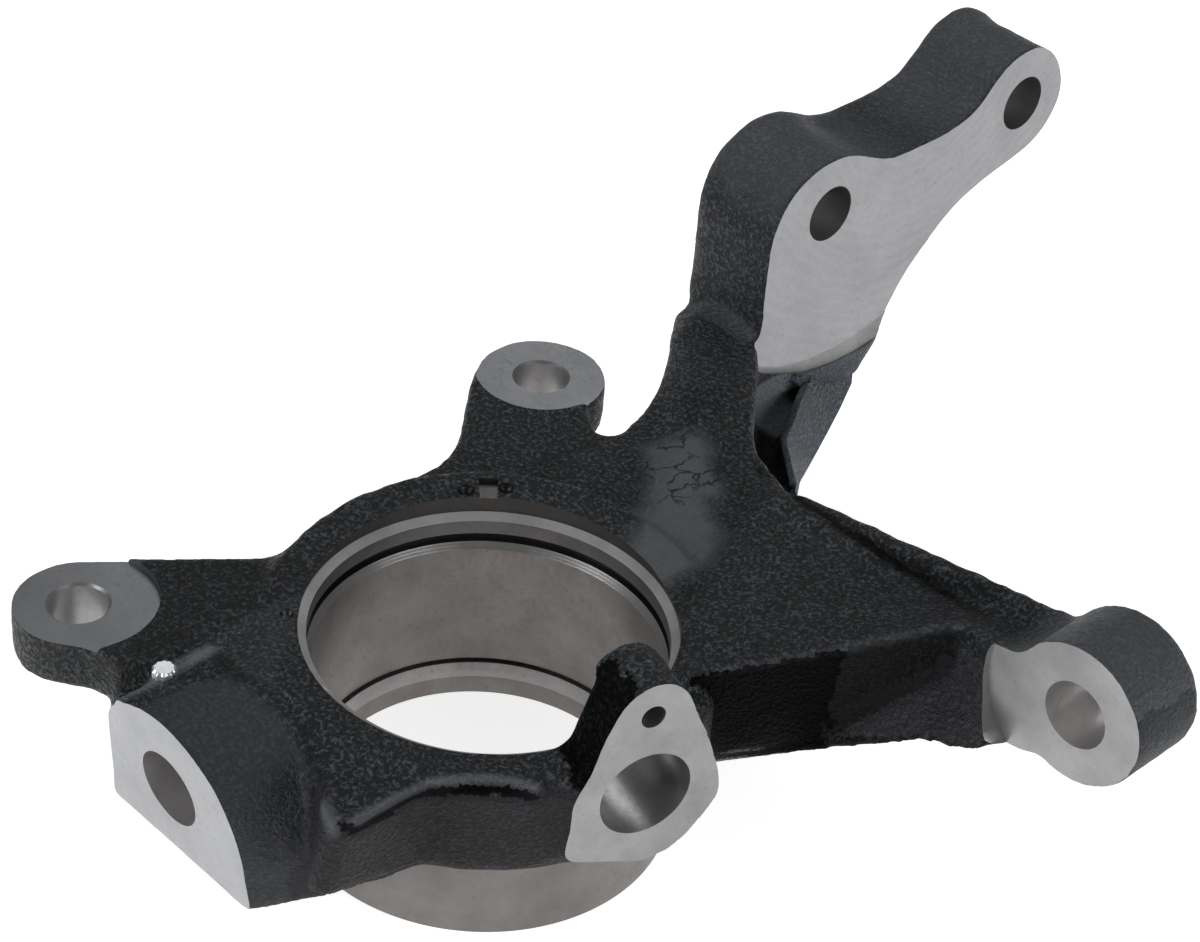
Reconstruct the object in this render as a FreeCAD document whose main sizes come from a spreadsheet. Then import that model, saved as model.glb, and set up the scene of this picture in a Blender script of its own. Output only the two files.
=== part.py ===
"""Cast steering knuckle of a strut suspension, one casting with machined faces.

Frame: origin on the axis of the wheel-bearing bore, in the plane of the bore's mouth.
+Z runs along the bore out of its mouth, +Y towards the strut flange, +X the way the
flange's milled face looks and towards the steering arm. Lengths in mm, angles in degrees.
"""
import FreeCAD
import Part
import Sketcher
import math
import os

V = FreeCAD.Vector

DIMS = {
    # bearing bore, from its mouth down
    "seat_radius": 36.0,
    "seat_length": 30.4,
    "land_step": 1.25,
    "land_length": 3.3,
    "lead_flare": 1.75,
    "lead_depth": 1.3,
    "groove_depth": 1.5,
    "groove_width": 2.1,
    "seat_bevel": 1.3,
    "undercut_depth": 0.5,
    "undercut_width": 0.7,
    "shoulder_step": 0.7,
    "throat_step": 1.6,
    "throat_cone": 3.3,
    "throat_length": 4.5,
    # hub ring and spigot
    "hub_wall": 12.5,
    "hub_round": 2.3,
    "skirt_depth": 23.5,
    "skirt_bevel": 1.8,
    "spigot_wall": 4.8,
    "spigot_bevel": 0.7,
    # raised cast rim round the mouth, cut off along a tilted plane
    "rim_inset": 0.5,
    "rim_root": 8.0,
    "rim_rise": 16.0,
    "rim_tilt": 6.6,
    "rim_bearing": 137.0,
    "rim_level": -0.6,
    # swell between the rim and the strut flange
    "swell_sink": 18.0,
    "swell_start": 0.3,
    "swell_rise": 4.2,
    # caliper ears and their web
    "ear_face": 2.1,
    "ear_under": 13.6,
    "web_top": 0.8,
    "saddle_drop": 2.0,
    "wing_top": 1.2,
    "wing_under": 21.9,
    "ear_hole_radius": 6.15,
    "ear_bevel": 0.55,
    "ear_one_x": -59.5,
    "ear_one_y": -59.1,
    "ear_one_radius": 13.6,
    "ear_one_cutter": 16.6,
    "ear_two_x": -62.6,
    "ear_two_y": 71.6,
    "ear_two_radius": 14.9,
    "ear_two_cutter": 15.3,
    "stub_radius": 2.5,
    "stub_rise": 2.6,
    # strut flange
    "flange_face": -37.0,
    "flange_width": 24.0,
    "flange_pad": 14.9,
    "flange_round": 2.5,
    "flange_stand": 1.0,
    "strut_hole_radius": 7.0,
    "strut_low_y": 137.1,
    "strut_low_z": 30.4,
    "strut_high_y": 205.2,
    "strut_high_z": 37.4,
    # beam and rib under the flange
    "beam_under": 22.0,
    "rib_top": 13.0,
    "trough_floor": 18.0,
    # steering arm
    "arm_x": 100.1,
    "arm_z": 10.0,
    "arm_face": 63.4,
    "arm_boss_radius": 15.7,
    "arm_boss_width": 19.6,
    "arm_taper_large": 7.35,
    "arm_taper_small": 6.3,
    "arm_cutter": 22.0,
    "arm_root_angle": 24.4,
    "arm_neck_back": 31.0,
    "arm_tip_back": 8.0,
    # ball joint boss
    "ball_x": -19.2,
    "ball_y": -66.6,
    "ball_z": -20.0,
    "ball_tilt": 5.71,
    "ball_half": 20.0,
    "ball_mouth": 9.25,
    "ball_large": 8.6,
    "ball_small": 7.1,
    "ball_bevel": 0.65,
    "ball_depth": 27.0,
    # sensor lug
    "lug_face": 50.0,
    "lug_turn": -16.7,
    "lug_across": 10.6,
    "lug_depth": 14.0,
    "sensor_z": -7.0,
    "sensor_radius": 9.9,
    "screw_z": 12.7,
    "screw_pad": 8.2,
    "screw_radius": 2.6,
    "screw_depth": 11.0,
    # how far a cutter runs past the metal
    "run_out": 5.0,
}

doc = FreeCAD.newDocument("knuckle")
sheet = doc.addObject("Spreadsheet::Sheet", "dims")
for row, (alias, value) in enumerate(DIMS.items(), start=1):
    sheet.set("A%d" % row, alias)
    sheet.set("B%d" % row, repr(value))
    sheet.setAlias("B%d" % row, alias)
doc.recompute()


def total(*names):
    """Sum of sheet names, as a number and as an expression; a leading minus subtracts."""
    number = 0.0
    words = []
    for name in names:
        sign = "-" if name.startswith("-") else "+"
        word = name.lstrip("-")
        number += -DIMS[word] if sign == "-" else DIMS[word]
        words.append("%s dims.%s" % (sign, word))
    return number, " ".join(words).lstrip("+ ")


def origin_feature(body, role):
    """The body's own origin plane or axis with this role."""
    for feature in body.Origin.OriginFeatures:
        if feature.Role == role:
            return feature
    raise RuntimeError("no origin feature " + role)


def new_sketch(body, name, role, offset):
    """A sketch on one of the body's origin planes, moved by offset in its own frame."""
    sketch = body.newObject("Sketcher::SketchObject", name)
    sketch.AttachmentSupport = (origin_feature(body, role), [""])
    sketch.MapMode = "FlatFace"
    sketch.AttachmentOffset = offset
    return sketch


def add_runs(sketch, runs):
    """Closed outline made of runs: two points give a line, more give a smooth curve."""
    for run in runs:
        points = [V(x, y, 0) for x, y in run]
        if len(points) == 2:
            sketch.addGeometry(Part.LineSegment(points[0], points[1]), False)
        else:
            curve = Part.BSplineCurve()
            curve.interpolate(points)
            sketch.addGeometry(curve, False)


def ring_of(corners):
    """Line runs of a closed polygon."""
    return [[corners[i], corners[(i + 1) % len(corners)]] for i in range(len(corners))]


def add_bound_polygon(sketch, corners):
    """Closed polygon whose corner distances are driven by the sheet.

    Each corner is a pair of totals; None keeps that corner on the axis.
    """
    count = len(corners)
    spots = [V(a[0] if a else 0, b[0] if b else 0, 0) for a, b in corners]
    for i in range(count):
        sketch.addGeometry(Part.LineSegment(spots[i], spots[(i + 1) % count]), False)
    for i in range(count):
        sketch.addConstraint(Sketcher.Constraint("Coincident", i, 2, (i + 1) % count, 1))
    for i, (a, b) in enumerate(corners):
        for given, kind, axis, word in ((a, "DistanceX", -2, "across"), (b, "DistanceY", -1, "along")):
            if given is None:
                sketch.addConstraint(Sketcher.Constraint("PointOnObject", i, 1, axis))
                continue
            k = sketch.addConstraint(Sketcher.Constraint(kind, -1, 1, i, 1, given[0]))
            sketch.renameConstraint(k, "%s_%d" % (word, i))
            sketch.setExpression("Constraints.%s_%d" % (word, i), given[1])


def revolved(name, corners):
    """A body turned about the bore axis from a profile of (radius, height) totals."""
    body = doc.addObject("PartDesign::Body", name)
    sketch = new_sketch(body, name + "_profile", "XZ_Plane", FreeCAD.Placement())
    add_bound_polygon(sketch, corners)
    turn = body.newObject("PartDesign::Revolution", name + "_turn")
    turn.Profile = sketch
    turn.ReferenceAxis = (origin_feature(body, "Z_Axis"), [""])
    turn.Angle = 360.0
    body.Tip = turn
    return body


def padded(name, role, runs, length, offset=FreeCAD.Placement(), level=None, inward=False):
    """A body padded from a closed outline; length and level are expressions on the sheet."""
    body = doc.addObject("PartDesign::Body", name)
    sketch = new_sketch(body, name + "_outline", role, offset)
    if level is not None:
        sketch.setExpression("AttachmentOffset.Base.z", level)
    add_runs(sketch, runs)
    pad = body.newObject("PartDesign::Pad", name + "_pad")
    pad.Profile = sketch
    pad.setExpression("Length", length)
    pad.Reversed = inward
    body.Tip = pad
    doc.recompute()
    return body


def lofted(name, role, sections):
    """A body lofted in straight lines through closed outlines on moved origin planes."""
    body = doc.addObject("PartDesign::Body", name)
    sketches = []
    for number, (runs, offset) in enumerate(sections):
        sketch = new_sketch(body, "%s_section_%d" % (name, number), role, offset)
        add_runs(sketch, runs)
        sketches.append(sketch)
    doc.recompute()
    loft = body.newObject("PartDesign::AdditiveLoft", name + "_loft")
    loft.Profile = sketches[0]
    loft.Sections = [(sketch, [""]) for sketch in sketches[1:]]
    loft.Ruled = True
    body.Tip = loft
    doc.recompute()
    return body


def round_edges(body, name, radius, pick):
    """Round the edges of the body's tip that pick accepts."""
    base = body.Tip
    names = ["Edge%d" % k for k, edge in enumerate(base.Shape.Edges, start=1) if pick(edge)]
    rounding = body.newObject("PartDesign::Fillet", name)
    rounding.Base = (base, names)
    rounding.setExpression("Radius", radius)
    body.Tip = rounding
    doc.recompute()


def place(tool, centre, along):
    """Put a primitive at three expressions, with its own +Z along the given direction."""
    tool.Placement = FreeCAD.Placement(V(0, 0, 0), FreeCAD.Rotation(V(0, 0, 1), along))
    for axis, expression in zip("xyz", centre):
        tool.setExpression("Placement.Base." + axis, expression)


def round_tool(name, radius, length, centre, along):
    """A cylinder with its foot at centre (three expressions), turned to run along a direction."""
    tool = doc.addObject("Part::Cylinder", name)
    tool.setExpression("Radius", radius)
    tool.setExpression("Height", length)
    place(tool, centre, along)
    return tool


def cone_tool(name, radius_one, radius_two, length, centre, along):
    """A cone with its foot at centre, turned to run along a direction."""
    tool = doc.addObject("Part::Cone", name)
    tool.setExpression("Radius1", radius_one)
    tool.setExpression("Radius2", radius_two)
    tool.setExpression("Height", length)
    place(tool, centre, along)
    return tool


def common_of(name, base, tool):
    """What two forms share."""
    shared = doc.addObject("Part::Common", name)
    shared.Base = base
    shared.Tool = tool
    return shared


def arc_points(centre, radius, start, stop, count):
    """Points on an arc from start to stop, in degrees."""
    angles = [math.radians(start + (stop - start) * i / (count - 1)) for i in range(count)]
    return [(centre[0] + radius * math.cos(a), centre[1] + radius * math.sin(a)) for a in angles]


def scaled(points, anchor, unit_x, unit_y=None):
    """Points given in shares of a size, set out from an anchor."""
    unit_y = unit_x if unit_y is None else unit_y
    return [(anchor[0] + unit_x * x, anchor[1] + unit_y * y) for x, y in points]


def between(points, start, end, unit):
    """Points given as (share of the way from start to end, sideways to the left in units)."""
    dx = end[0] - start[0]
    dy = end[1] - start[1]
    span = math.hypot(dx, dy)
    return [(start[0] + f * dx - v * unit * dy / span, start[1] + f * dy + v * unit * dx / span)
            for f, v in points]


# Hub ring with its spigot, turned about the bore axis
hub_radius = DIMS["seat_radius"] + DIMS["hub_wall"]
bore_chain = ["-lead_depth", "-land_length", "-groove_width", "-seat_bevel", "-seat_length", "-undercut_width",
              "-throat_cone", "-throat_length"]
axis_spot = (0.0, 0.0)
hub = revolved("hub", [
    (None, None),
    (total("seat_radius", "hub_wall", "-hub_round"), None),
    (total("seat_radius", "hub_wall"), total("-hub_round")),
    (total("seat_radius", "hub_wall"), total("-skirt_depth", "skirt_bevel")),
    (total("seat_radius", "hub_wall", "-skirt_bevel"), total("-skirt_depth")),
    (total("seat_radius", "spigot_wall"), total("-skirt_depth")),
    (total("seat_radius", "spigot_wall"), total(*bore_chain, "spigot_bevel")),
    (total("seat_radius", "spigot_wall", "-spigot_bevel"), total(*bore_chain)),
    (None, total(*bore_chain)),
])

# Raised cast rim behind the bore, cut off along a tilted plane
rim_blank = round_tool("rim_blank", "dims.seat_radius + dims.hub_wall - dims.rim_inset",
                       "dims.rim_root + dims.rim_rise", ("0", "0", "-dims.rim_root"), V(0, 0, 1))
rim_limit = doc.addObject("Part::Box", "rim_limit")
rim_side = 5 * hub_radius
rim_limit.setExpression("Length", "(dims.seat_radius + dims.hub_wall) * 5")
rim_limit.setExpression("Width", "(dims.seat_radius + dims.hub_wall) * 5")
rim_limit.setExpression("Height", "dims.rim_root + dims.rim_rise")
rim_way = math.radians(DIMS["rim_bearing"])
rim_turn = FreeCAD.Rotation(V(math.sin(rim_way), -math.cos(rim_way), 0), DIMS["rim_tilt"])
rim_foot = rim_turn.multVec(V(-rim_side / 2, -rim_side / 2, -DIMS["rim_root"] - DIMS["rim_rise"]))
rim_limit.Placement = FreeCAD.Placement(rim_foot + V(0, 0, DIMS["rim_level"]), rim_turn)
rim = common_of("rim", rim_blank, rim_limit)

# Web with the two caliper ears, in plan
ear_one = (DIMS["ear_one_x"], DIMS["ear_one_y"])
ear_two = (DIMS["ear_two_x"], DIMS["ear_two_y"])
ball = (DIMS["ball_x"], DIMS["ball_y"])
ear_one_arc = arc_points(ear_one, DIMS["ear_one_radius"], 312, 142, 13)
ear_two_arc = arc_points(ear_two, DIMS["ear_two_radius"], 205, 2, 15)
web_fold = scaled([(-0.639, -0.495), (-0.707, -0.722), (-0.718, -0.948), (-0.693, -1.196)], axis_spot, hub_radius)
ball_corner = scaled([(-0.975, 0.080)], ball, DIMS["ball_half"])
web_cusp = scaled([(1.140, -0.463)], ear_one, DIMS["ear_one_radius"])
web_side = scaled([(-1.014, -0.474), (-0.967, -0.371), (-0.963, -0.219), (-0.998, -0.012), (-1.043, 0.237),
                   (-1.031, 0.412), (-1.027, 0.536), (-1.060, 0.687), (-1.134, 0.814)], axis_spot, hub_radius)
ear_two_root = scaled([(0.107, -1.705), (-0.510, -1.013)], ear_two, DIMS["ear_two_radius"])
ear_two_notch = scaled([(1.074, -0.067), (1.342, -0.228), (1.678, -0.376), (1.960, -0.242), (2.389, 0.161)],
                       ear_two, DIMS["ear_two_radius"])
web_heart = scaled([(0.0, 0.825)], axis_spot, hub_radius)
web = padded("web", "XY_Plane", [
    web_fold,
    [web_fold[-1], ball_corner[0]],
    ball_corner + web_cusp + ear_one_arc[:1],
    ear_one_arc,
    [ear_one_arc[-1], web_side[0]],
    web_side + ear_two_root + ear_two_arc[:1],
    ear_two_arc,
    ear_two_arc[-1:] + ear_two_notch,
    [ear_two_notch[-1], web_heart[0]],
    [web_heart[0], web_fold[0]],
], "dims.ear_under - dims.web_top", level="-dims.ear_under")

# Saddle that fills the corner between the web, the hub and the ball joint boss
saddle_corners = scaled([(-0.763, -0.619), (-0.495, -0.742), (-0.371, -0.887), (-0.536, -1.041),
                         (-0.742, -1.052)], axis_spot, hub_radius)
saddle = padded("saddle", "XY_Plane", ring_of(saddle_corners), "dims.ear_under - dims.saddle_drop",
                level="-dims.ear_under")

# Wing of the web beside the ball joint boss, down to the foot of the skirt
wing_upper = scaled([(-0.330, -0.907), (-0.124, -1.000), (0.070, -1.031), (0.206, -1.093), (0.330, -1.165),
                     (0.454, -1.221), (0.536, -1.225), (0.561, -1.155), (0.553, -1.031), (0.555, -0.907),
                     (0.577, -0.784), (0.412, -0.701)], axis_spot, hub_radius)
wing_lower = scaled([(-0.330, -0.907), (-0.124, -1.000), (0.070, -1.031), (0.206, -1.093), (0.300, -1.200),
                     (0.400, -1.310), (0.472, -1.272), (0.499, -1.177), (0.528, -1.064), (0.557, -0.938),
                     (0.577, -0.784), (0.412, -0.701)], axis_spot, hub_radius)
wing = lofted("wing", "XY_Plane", [
    (ring_of(wing_upper), FreeCAD.Placement(V(0, 0, -DIMS["wing_top"]), FreeCAD.Rotation())),
    (ring_of(wing_lower), FreeCAD.Placement(V(0, 0, -DIMS["wing_under"]), FreeCAD.Rotation())),
])

# Small bare stub left on the web behind the ball joint boss
stub = round_tool("stub", "dims.stub_radius", "dims.ear_under / 2 + dims.stub_rise",
                  ("-(dims.seat_radius + dims.hub_wall) * 0.689", "-(dims.seat_radius + dims.hub_wall) * 1.184",
                   "-dims.ear_under / 2"), V(0, 0, 1))

# Strut flange, an outline in Y and Z set out from its two holes
pad_size = DIMS["flange_pad"]
low = (DIMS["strut_low_y"], DIMS["strut_low_z"])
high = (DIMS["strut_high_y"], DIMS["strut_high_z"])
toe = low[0] - 1.315 * pad_size
foot = (low[0] + 1.2 * pad_size, -DIMS["beam_under"])
toe_edge = scaled([(-1.725, -1.000), (-1.711, -0.636), (-1.658, -0.364), (-1.550, -0.155), (-1.389, 0.018),
                   (-1.322, 0.227), (-1.315, 0.636)], (low[0], 0.0), pad_size, DIMS["beam_under"])
low_start = scaled([(-1.315, -0.430)], low, pad_size)
low_pad = scaled([(-1.268, 0.067), (-1.168, 0.322), (-1.047, 0.523), (-0.846, 0.711), (-0.631, 0.839),
                  (-0.362, 0.940), (-0.094, 0.973), (0.242, 0.953)], low, pad_size)
waist = between([(0.144, 0.782), (0.234, 0.537), (0.316, 0.391), (0.417, 0.323), (0.541, 0.278), (0.647, 0.295),
                 (0.739, 0.400)], low, high, pad_size)
high_pad = scaled([(-0.899, 0.577), (-0.604, 0.826), (-0.282, 0.966), (0.067, 1.000), (0.403, 0.886),
                   (0.685, 0.664), (0.899, 0.336), (1.000, 0.027), (0.980, -0.228), (0.859, -0.510),
                   (0.631, -0.765), (0.295, -0.953)], high, pad_size)
belly = between([(0.168, 0.584), (0.227, 0.367), (0.286, 0.156), (0.351, -0.035), (0.417, -0.164),
                 (0.494, -0.245), (0.573, -0.318), (0.648, -0.341), (0.729, -0.300), (0.801, -0.208),
                 (0.873, -0.049)], high, foot, pad_size)
flange = padded("flange", "YZ_Plane", [
    toe_edge + low_start,
    low_start + low_pad + waist + high_pad + belly,
    [belly[-1], foot],
    [foot, toe_edge[0]],
], "dims.flange_width + dims.flange_stand", level="dims.flange_face + dims.flange_stand", inward=True)

face_x = DIMS["flange_face"]
back_x = DIMS["flange_face"] - DIMS["flange_width"]


def behind_flange(edge):
    """Edge test: the edge lies in the back plane of the strut flange, above the beam."""
    box = edge.BoundBox
    flat = abs(box.XMin - back_x) < 0.02 and abs(box.XMax - back_x) < 0.02
    return flat and box.ZMax > -0.9 * DIMS["beam_under"]


round_edges(flange, "flange_rounding", "dims.flange_round", behind_flange)


def beam_outline(end):
    """Beam in plan, from the hub to a straight end at this distance, in shares of the flange's place."""
    left = scaled([(0.492, 0.323), (0.541, 0.527), (0.564, 0.608), (0.626, 0.702), (0.738, 0.799),
                   (0.889, 0.898), (1.0, 0.966)], axis_spot, back_x, toe)
    right = scaled([(1.0, 1.0), (0.730, 0.905), (0.486, 0.821), (0.243, 0.753), (-0.081, 0.719),
                    (-0.270, 0.680)], axis_spot, face_x, toe)
    hub_side = scaled([(0.495, 0.742)], axis_spot, hub_radius)
    return [left, [left[-1], (back_x, end)], [(back_x, end), (face_x, end)], [(face_x, end), right[0]],
            right, [right[-1], hub_side[0]], [hub_side[0], left[0]]]


# Beam from the hub to the strut flange, and the swell along its top
beam = padded("beam", "XY_Plane", beam_outline(foot[0]), "dims.beam_under", level="-dims.beam_under")
swell_limit = padded("swell_limit", "XY_Plane", beam_outline(toe + DIMS["flange_round"] / 5),
                     "dims.swell_sink * 2", level="-dims.swell_sink")
swell_from = V(0.206 * hub_radius, 0.742 * hub_radius, 0)
swell_to = V(face_x - 0.5 * DIMS["flange_width"] - 0.6, toe + 0.5 * DIMS["flange_round"], 0)
swell_cone = cone_tool("swell_cone", "dims.swell_sink + dims.swell_start", "dims.swell_sink + dims.swell_rise",
                       "%.6f mm" % (swell_to - swell_from).Length,
                       ("(dims.seat_radius + dims.hub_wall) * 0.206", "(dims.seat_radius + dims.hub_wall) * 0.742",
                        "-dims.swell_sink"), swell_to - swell_from)
swell = common_of("swell", swell_cone, swell_limit)


def rib_outline(shares):
    """Rib in plan with this outer edge, in shares of the flange's place."""
    edge = scaled(shares, axis_spot, face_x, foot[0])
    inner = scaled([(-0.162, 0.387), (1.081, 0.581)], axis_spot, face_x, foot[0])
    back = (back_x, 0.723 * foot[0])
    return [edge, [edge[-1], inner[0]], [inner[0], inner[1]], [inner[1], back],
            [back, (back_x, edge[0][1])], [(back_x, edge[0][1]), edge[0]]]


# Rib below the beam: its outer wall slopes out from a near edge to a foot; a trough parts it from the beam
rib = lofted("rib", "XY_Plane", [
    (rib_outline([(1.0, 0.897), (0.925, 0.866), (0.800, 0.815), (0.660, 0.762), (0.540, 0.714), (0.375, 0.682),
                  (0.185, 0.650), (-0.162, 0.555)]),
     FreeCAD.Placement(V(0, 0, -DIMS["rib_top"]), FreeCAD.Rotation())),
    (rib_outline([(1.0, 1.002), (0.932, 0.972), (0.781, 0.906), (0.641, 0.840), (0.505, 0.775), (0.389, 0.715),
                  (0.195, 0.652), (-0.162, 0.555)]),
     FreeCAD.Placement(V(0, 0, -DIMS["beam_under"]), FreeCAD.Rotation())),
])
trough_edge = scaled([(1.0, 0.881), (0.838, 0.813), (0.665, 0.752), (0.530, 0.702), (0.368, 0.665),
                      (0.135, 0.630)], axis_spot, face_x, foot[0])
trough_close = scaled([(-0.324, 0.568), (0.0, 0.477), (1.162, 0.671), (1.162, 0.881)], axis_spot, face_x, foot[0])
trough_corners = [trough_edge[-1]] + trough_close + [trough_edge[0]]
trough = padded("trough", "XY_Plane", [trough_edge] + ring_of(trough_corners)[:-1], "dims.trough_floor",
                level="-dims.trough_floor")
channel = doc.addObject("Part::Cut", "channel")
channel.Base = rib
channel.Tool = trough


def arm_plane(x, y, angle):
    """Attachment of a YZ sketch to the upright plane through a spot in plan, turned by angle."""
    return FreeCAD.Placement(V(y, 0, x), FreeCAD.Rotation(V(0, 1, 0), angle))


def arm_section(points):
    """Arm section in shares of the boss radius, set out from the hole's height."""
    return ring_of(scaled(points, (0.0, DIMS["arm_z"]), DIMS["arm_boss_radius"]))


# Steering arm: from a wide root in the hub, over a neck, into its boss
arm_root = scaled([(-0.021, 0.062), (1.361, 0.072), (1.423, 0.103), (1.557, 0.087), (1.577, -0.412),
                   (0.268, -0.629), (0.010, -0.546)], axis_spot, hub_radius)
arm = lofted("arm", "YZ_Plane", [
    (ring_of(arm_root), arm_plane(0.701 * hub_radius, 0.206 * hub_radius, DIMS["arm_root_angle"])),
    (arm_section([(0.0, 0.217), (1.083, -0.306), (1.146, 0.064), (1.376, 0.051), (1.338, -0.924),
                  (-0.828, -1.312), (-0.064, -0.605)]),
     arm_plane(DIMS["arm_x"] - DIMS["arm_neck_back"], DIMS["arm_face"] + 0.4, DIMS["arm_root_angle"])),
    (arm_section([(-0.025, 0.414), (0.764, 0.318), (0.917, 0.471), (1.236, 0.446), (1.019, -1.210),
                  (-0.318, -0.943), (-0.280, -0.446)]),
     arm_plane(DIMS["arm_x"] - DIMS["arm_tip_back"], DIMS["arm_face"], 0.0)),
])
arm_spot = ("dims.arm_x", "dims.arm_face", "dims.arm_z")
arm_boss = round_tool("arm_boss", "dims.arm_boss_radius", "dims.arm_boss_width", arm_spot, V(0, 1, 0))


def ball_section(points, depth):
    """Arch and flat foot of the ball joint boss, this far behind its milled face."""
    arch = scaled(points, axis_spot, DIMS["ball_half"])
    turn = FreeCAD.Rotation(V(1, 0, 0), DIMS["ball_tilt"])
    return [arch, [arch[-1], arch[0]]], FreeCAD.Placement(V(ball[0], DIMS["ball_z"], -ball[1] - depth), turn)


# Ball joint boss: arched section with a flat foot, widening as it runs back into the hub
ball_reach = -ball[1] - 0.878 * hub_radius
ball_boss = lofted("ball_boss", "XZ_Plane", [
    ball_section([(1.165, -0.850), (1.130, -0.250), (1.020, 0.220), (0.815, 0.570), (0.425, 0.840),
                  (0.015, 0.930), (-0.535, 0.795), (-0.870, 0.520), (-0.995, 0.070), (-1.030, -0.450),
                  (-1.080, -0.850)], 0.0),
    ball_section([(1.610, -0.725), (1.575, -0.300), (1.400, 0.200), (1.150, 0.570), (0.650, 0.870),
                  (0.100, 0.970), (-0.500, 0.860), (-0.840, 0.580), (-0.965, 0.100), (-1.010, -0.450),
                  (-1.060, -0.825)], 0.5 * ball_reach),
    ball_section([(2.210, -0.300), (2.100, -0.050), (1.850, 0.350), (1.475, 0.675), (0.850, 0.930),
                  (0.200, 1.020), (-0.470, 0.950), (-0.820, 0.730), (-0.940, 0.120), (-0.980, -0.450),
                  (-1.030, -0.800)], ball_reach),
])

# Sensor lug beside the bore, an outline set out from its two holes
lug_way = math.radians(DIMS["lug_turn"])
lug_normal = V(math.cos(lug_way), math.sin(lug_way), 0)
lug_spot = lug_normal * DIMS["lug_face"]
sensor_spot = (DIMS["lug_across"], DIMS["sensor_z"])
screw_spot = (DIMS["lug_across"], DIMS["screw_z"])
lug_left = scaled([(-1.525, -1.293), (-1.667, -1.111), (-1.616, -0.545), (-1.566, 0.273), (-1.323, 0.838)],
                  sensor_spot, DIMS["sensor_radius"])
lug_top = scaled([(-1.280, -0.463), (-1.037, 0.159), (-0.768, 0.585), (-0.451, 0.829), (-0.037, 1.000),
                  (0.317, 0.951), (0.695, 0.720), (0.951, 0.329), (1.305, -0.500)], screw_spot, DIMS["screw_pad"])
lug_right = scaled([(1.364, 0.970), (1.556, 0.424), (1.677, -0.051), (1.758, -0.515)],
                   sensor_spot, DIMS["sensor_radius"])
lug_foot = scaled([(1.556, -0.869), (1.293, -1.202), (0.990, -1.535), (0.566, -1.798), (0.061, -1.859),
                   (-0.505, -1.697)], sensor_spot, DIMS["sensor_radius"])
lug = padded("lug", "YZ_Plane", [
    lug_left + lug_top + lug_right,
    lug_right[-1:] + lug_foot + lug_left[:1],
], "dims.lug_depth", offset=FreeCAD.Placement(V(lug_spot.y, 0, lug_spot.x),
                                              FreeCAD.Rotation(V(0, 1, 0), DIMS["lug_turn"])), inward=True)

# The casting before machining
casting = doc.addObject("Part::MultiFuse", "casting")
casting.Shapes = [hub, rim, web, saddle, wing, stub, beam, swell, channel, flange, arm, arm_boss, ball_boss, lug]
doc.recompute()

# Bearing bore with its ring groove, undercut, shoulder and throat, and the counterbore above its mouth
land = ("seat_radius", "land_step")
bore = revolved("bore", [
    (None, total("rim_rise")),
    (total(*land, "lead_flare"), total("rim_rise")),
    (total(*land, "lead_flare"), None),
    (total(*land), total(*bore_chain[:1])),
    (total(*land), total(*bore_chain[:2])),
    (total(*land, "groove_depth"), total(*bore_chain[:2])),
    (total(*land, "groove_depth"), total(*bore_chain[:3])),
    (total(*land), total(*bore_chain[:3])),
    (total("seat_radius"), total(*bore_chain[:4])),
    (total("seat_radius"), total(*bore_chain[:5])),
    (total("seat_radius", "undercut_depth"), total(*bore_chain[:5])),
    (total("seat_radius", "undercut_depth"), total(*bore_chain[:6])),
    (total("seat_radius", "-shoulder_step"), total(*bore_chain[:6])),
    (total("seat_radius", "-throat_step"), total(*bore_chain[:7])),
    (total("seat_radius", "-throat_step"), total(*bore_chain, "-run_out")),
    (None, total(*bore_chain, "-run_out")),
])
cutters = [bore]

# Caliper ears: spotfaces, holes and their bevels
for name in ("one", "two"):
    x = "dims.ear_%s_x" % name
    y = "dims.ear_%s_y" % name
    face_spot = (x, y, "-dims.ear_face")
    cutters.append(round_tool("spotface_" + name, "dims.ear_%s_cutter" % name, "dims.rim_rise",
                              face_spot, V(0, 0, 1)))
    cutters.append(round_tool("ear_hole_" + name, "dims.ear_hole_radius", "dims.ear_under + dims.run_out * 2",
                              (x, y, "-dims.ear_under - dims.run_out"), V(0, 0, 1)))
    cutters.append(cone_tool("ear_bevel_" + name, "dims.ear_hole_radius + dims.ear_bevel", "dims.ear_hole_radius",
                             "dims.ear_bevel", face_spot, V(0, 0, -1)))

# Strut flange: its face milled down to a curved lower edge, then its holes
facing_edge = scaled([(-1.617, -2.141), (-1.255, -2.329), (-0.745, -2.523), (-0.275, -2.671), (0.128, -2.738),
                      (0.530, -2.765), (1.000, -2.732), (1.403, -2.658), (1.738, -2.557)], low, pad_size)
facing_far = scaled([(2.0, -4.0), (2.0, 2.0)], high, pad_size)
facing_close = [facing_edge[-1]] + facing_far + [(facing_edge[0][0], facing_far[1][1]), facing_edge[0]]
cutters.append(padded("strut_facing", "YZ_Plane", [facing_edge] + ring_of(facing_close)[:-1],
                      "dims.flange_stand + dims.run_out", level="dims.flange_face"))
for name in ("low", "high"):
    strut_spot = ("dims.flange_face + dims.run_out", "dims.strut_%s_y" % name, "dims.strut_%s_z" % name)
    cutters.append(round_tool("strut_hole_" + name, "dims.strut_hole_radius",
                              "dims.flange_width + dims.run_out * 2", strut_spot, V(-1, 0, 0)))

# Steering arm: faced boss and tapered hole
cutters.append(round_tool("arm_facing", "dims.arm_cutter", "dims.arm_boss_width * 1.5", arm_spot, V(0, -1, 0)))
cutters.append(cone_tool("arm_taper", "dims.arm_taper_large", "dims.arm_taper_small", "dims.arm_boss_width",
                         arm_spot, V(0, 1, 0)))

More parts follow.
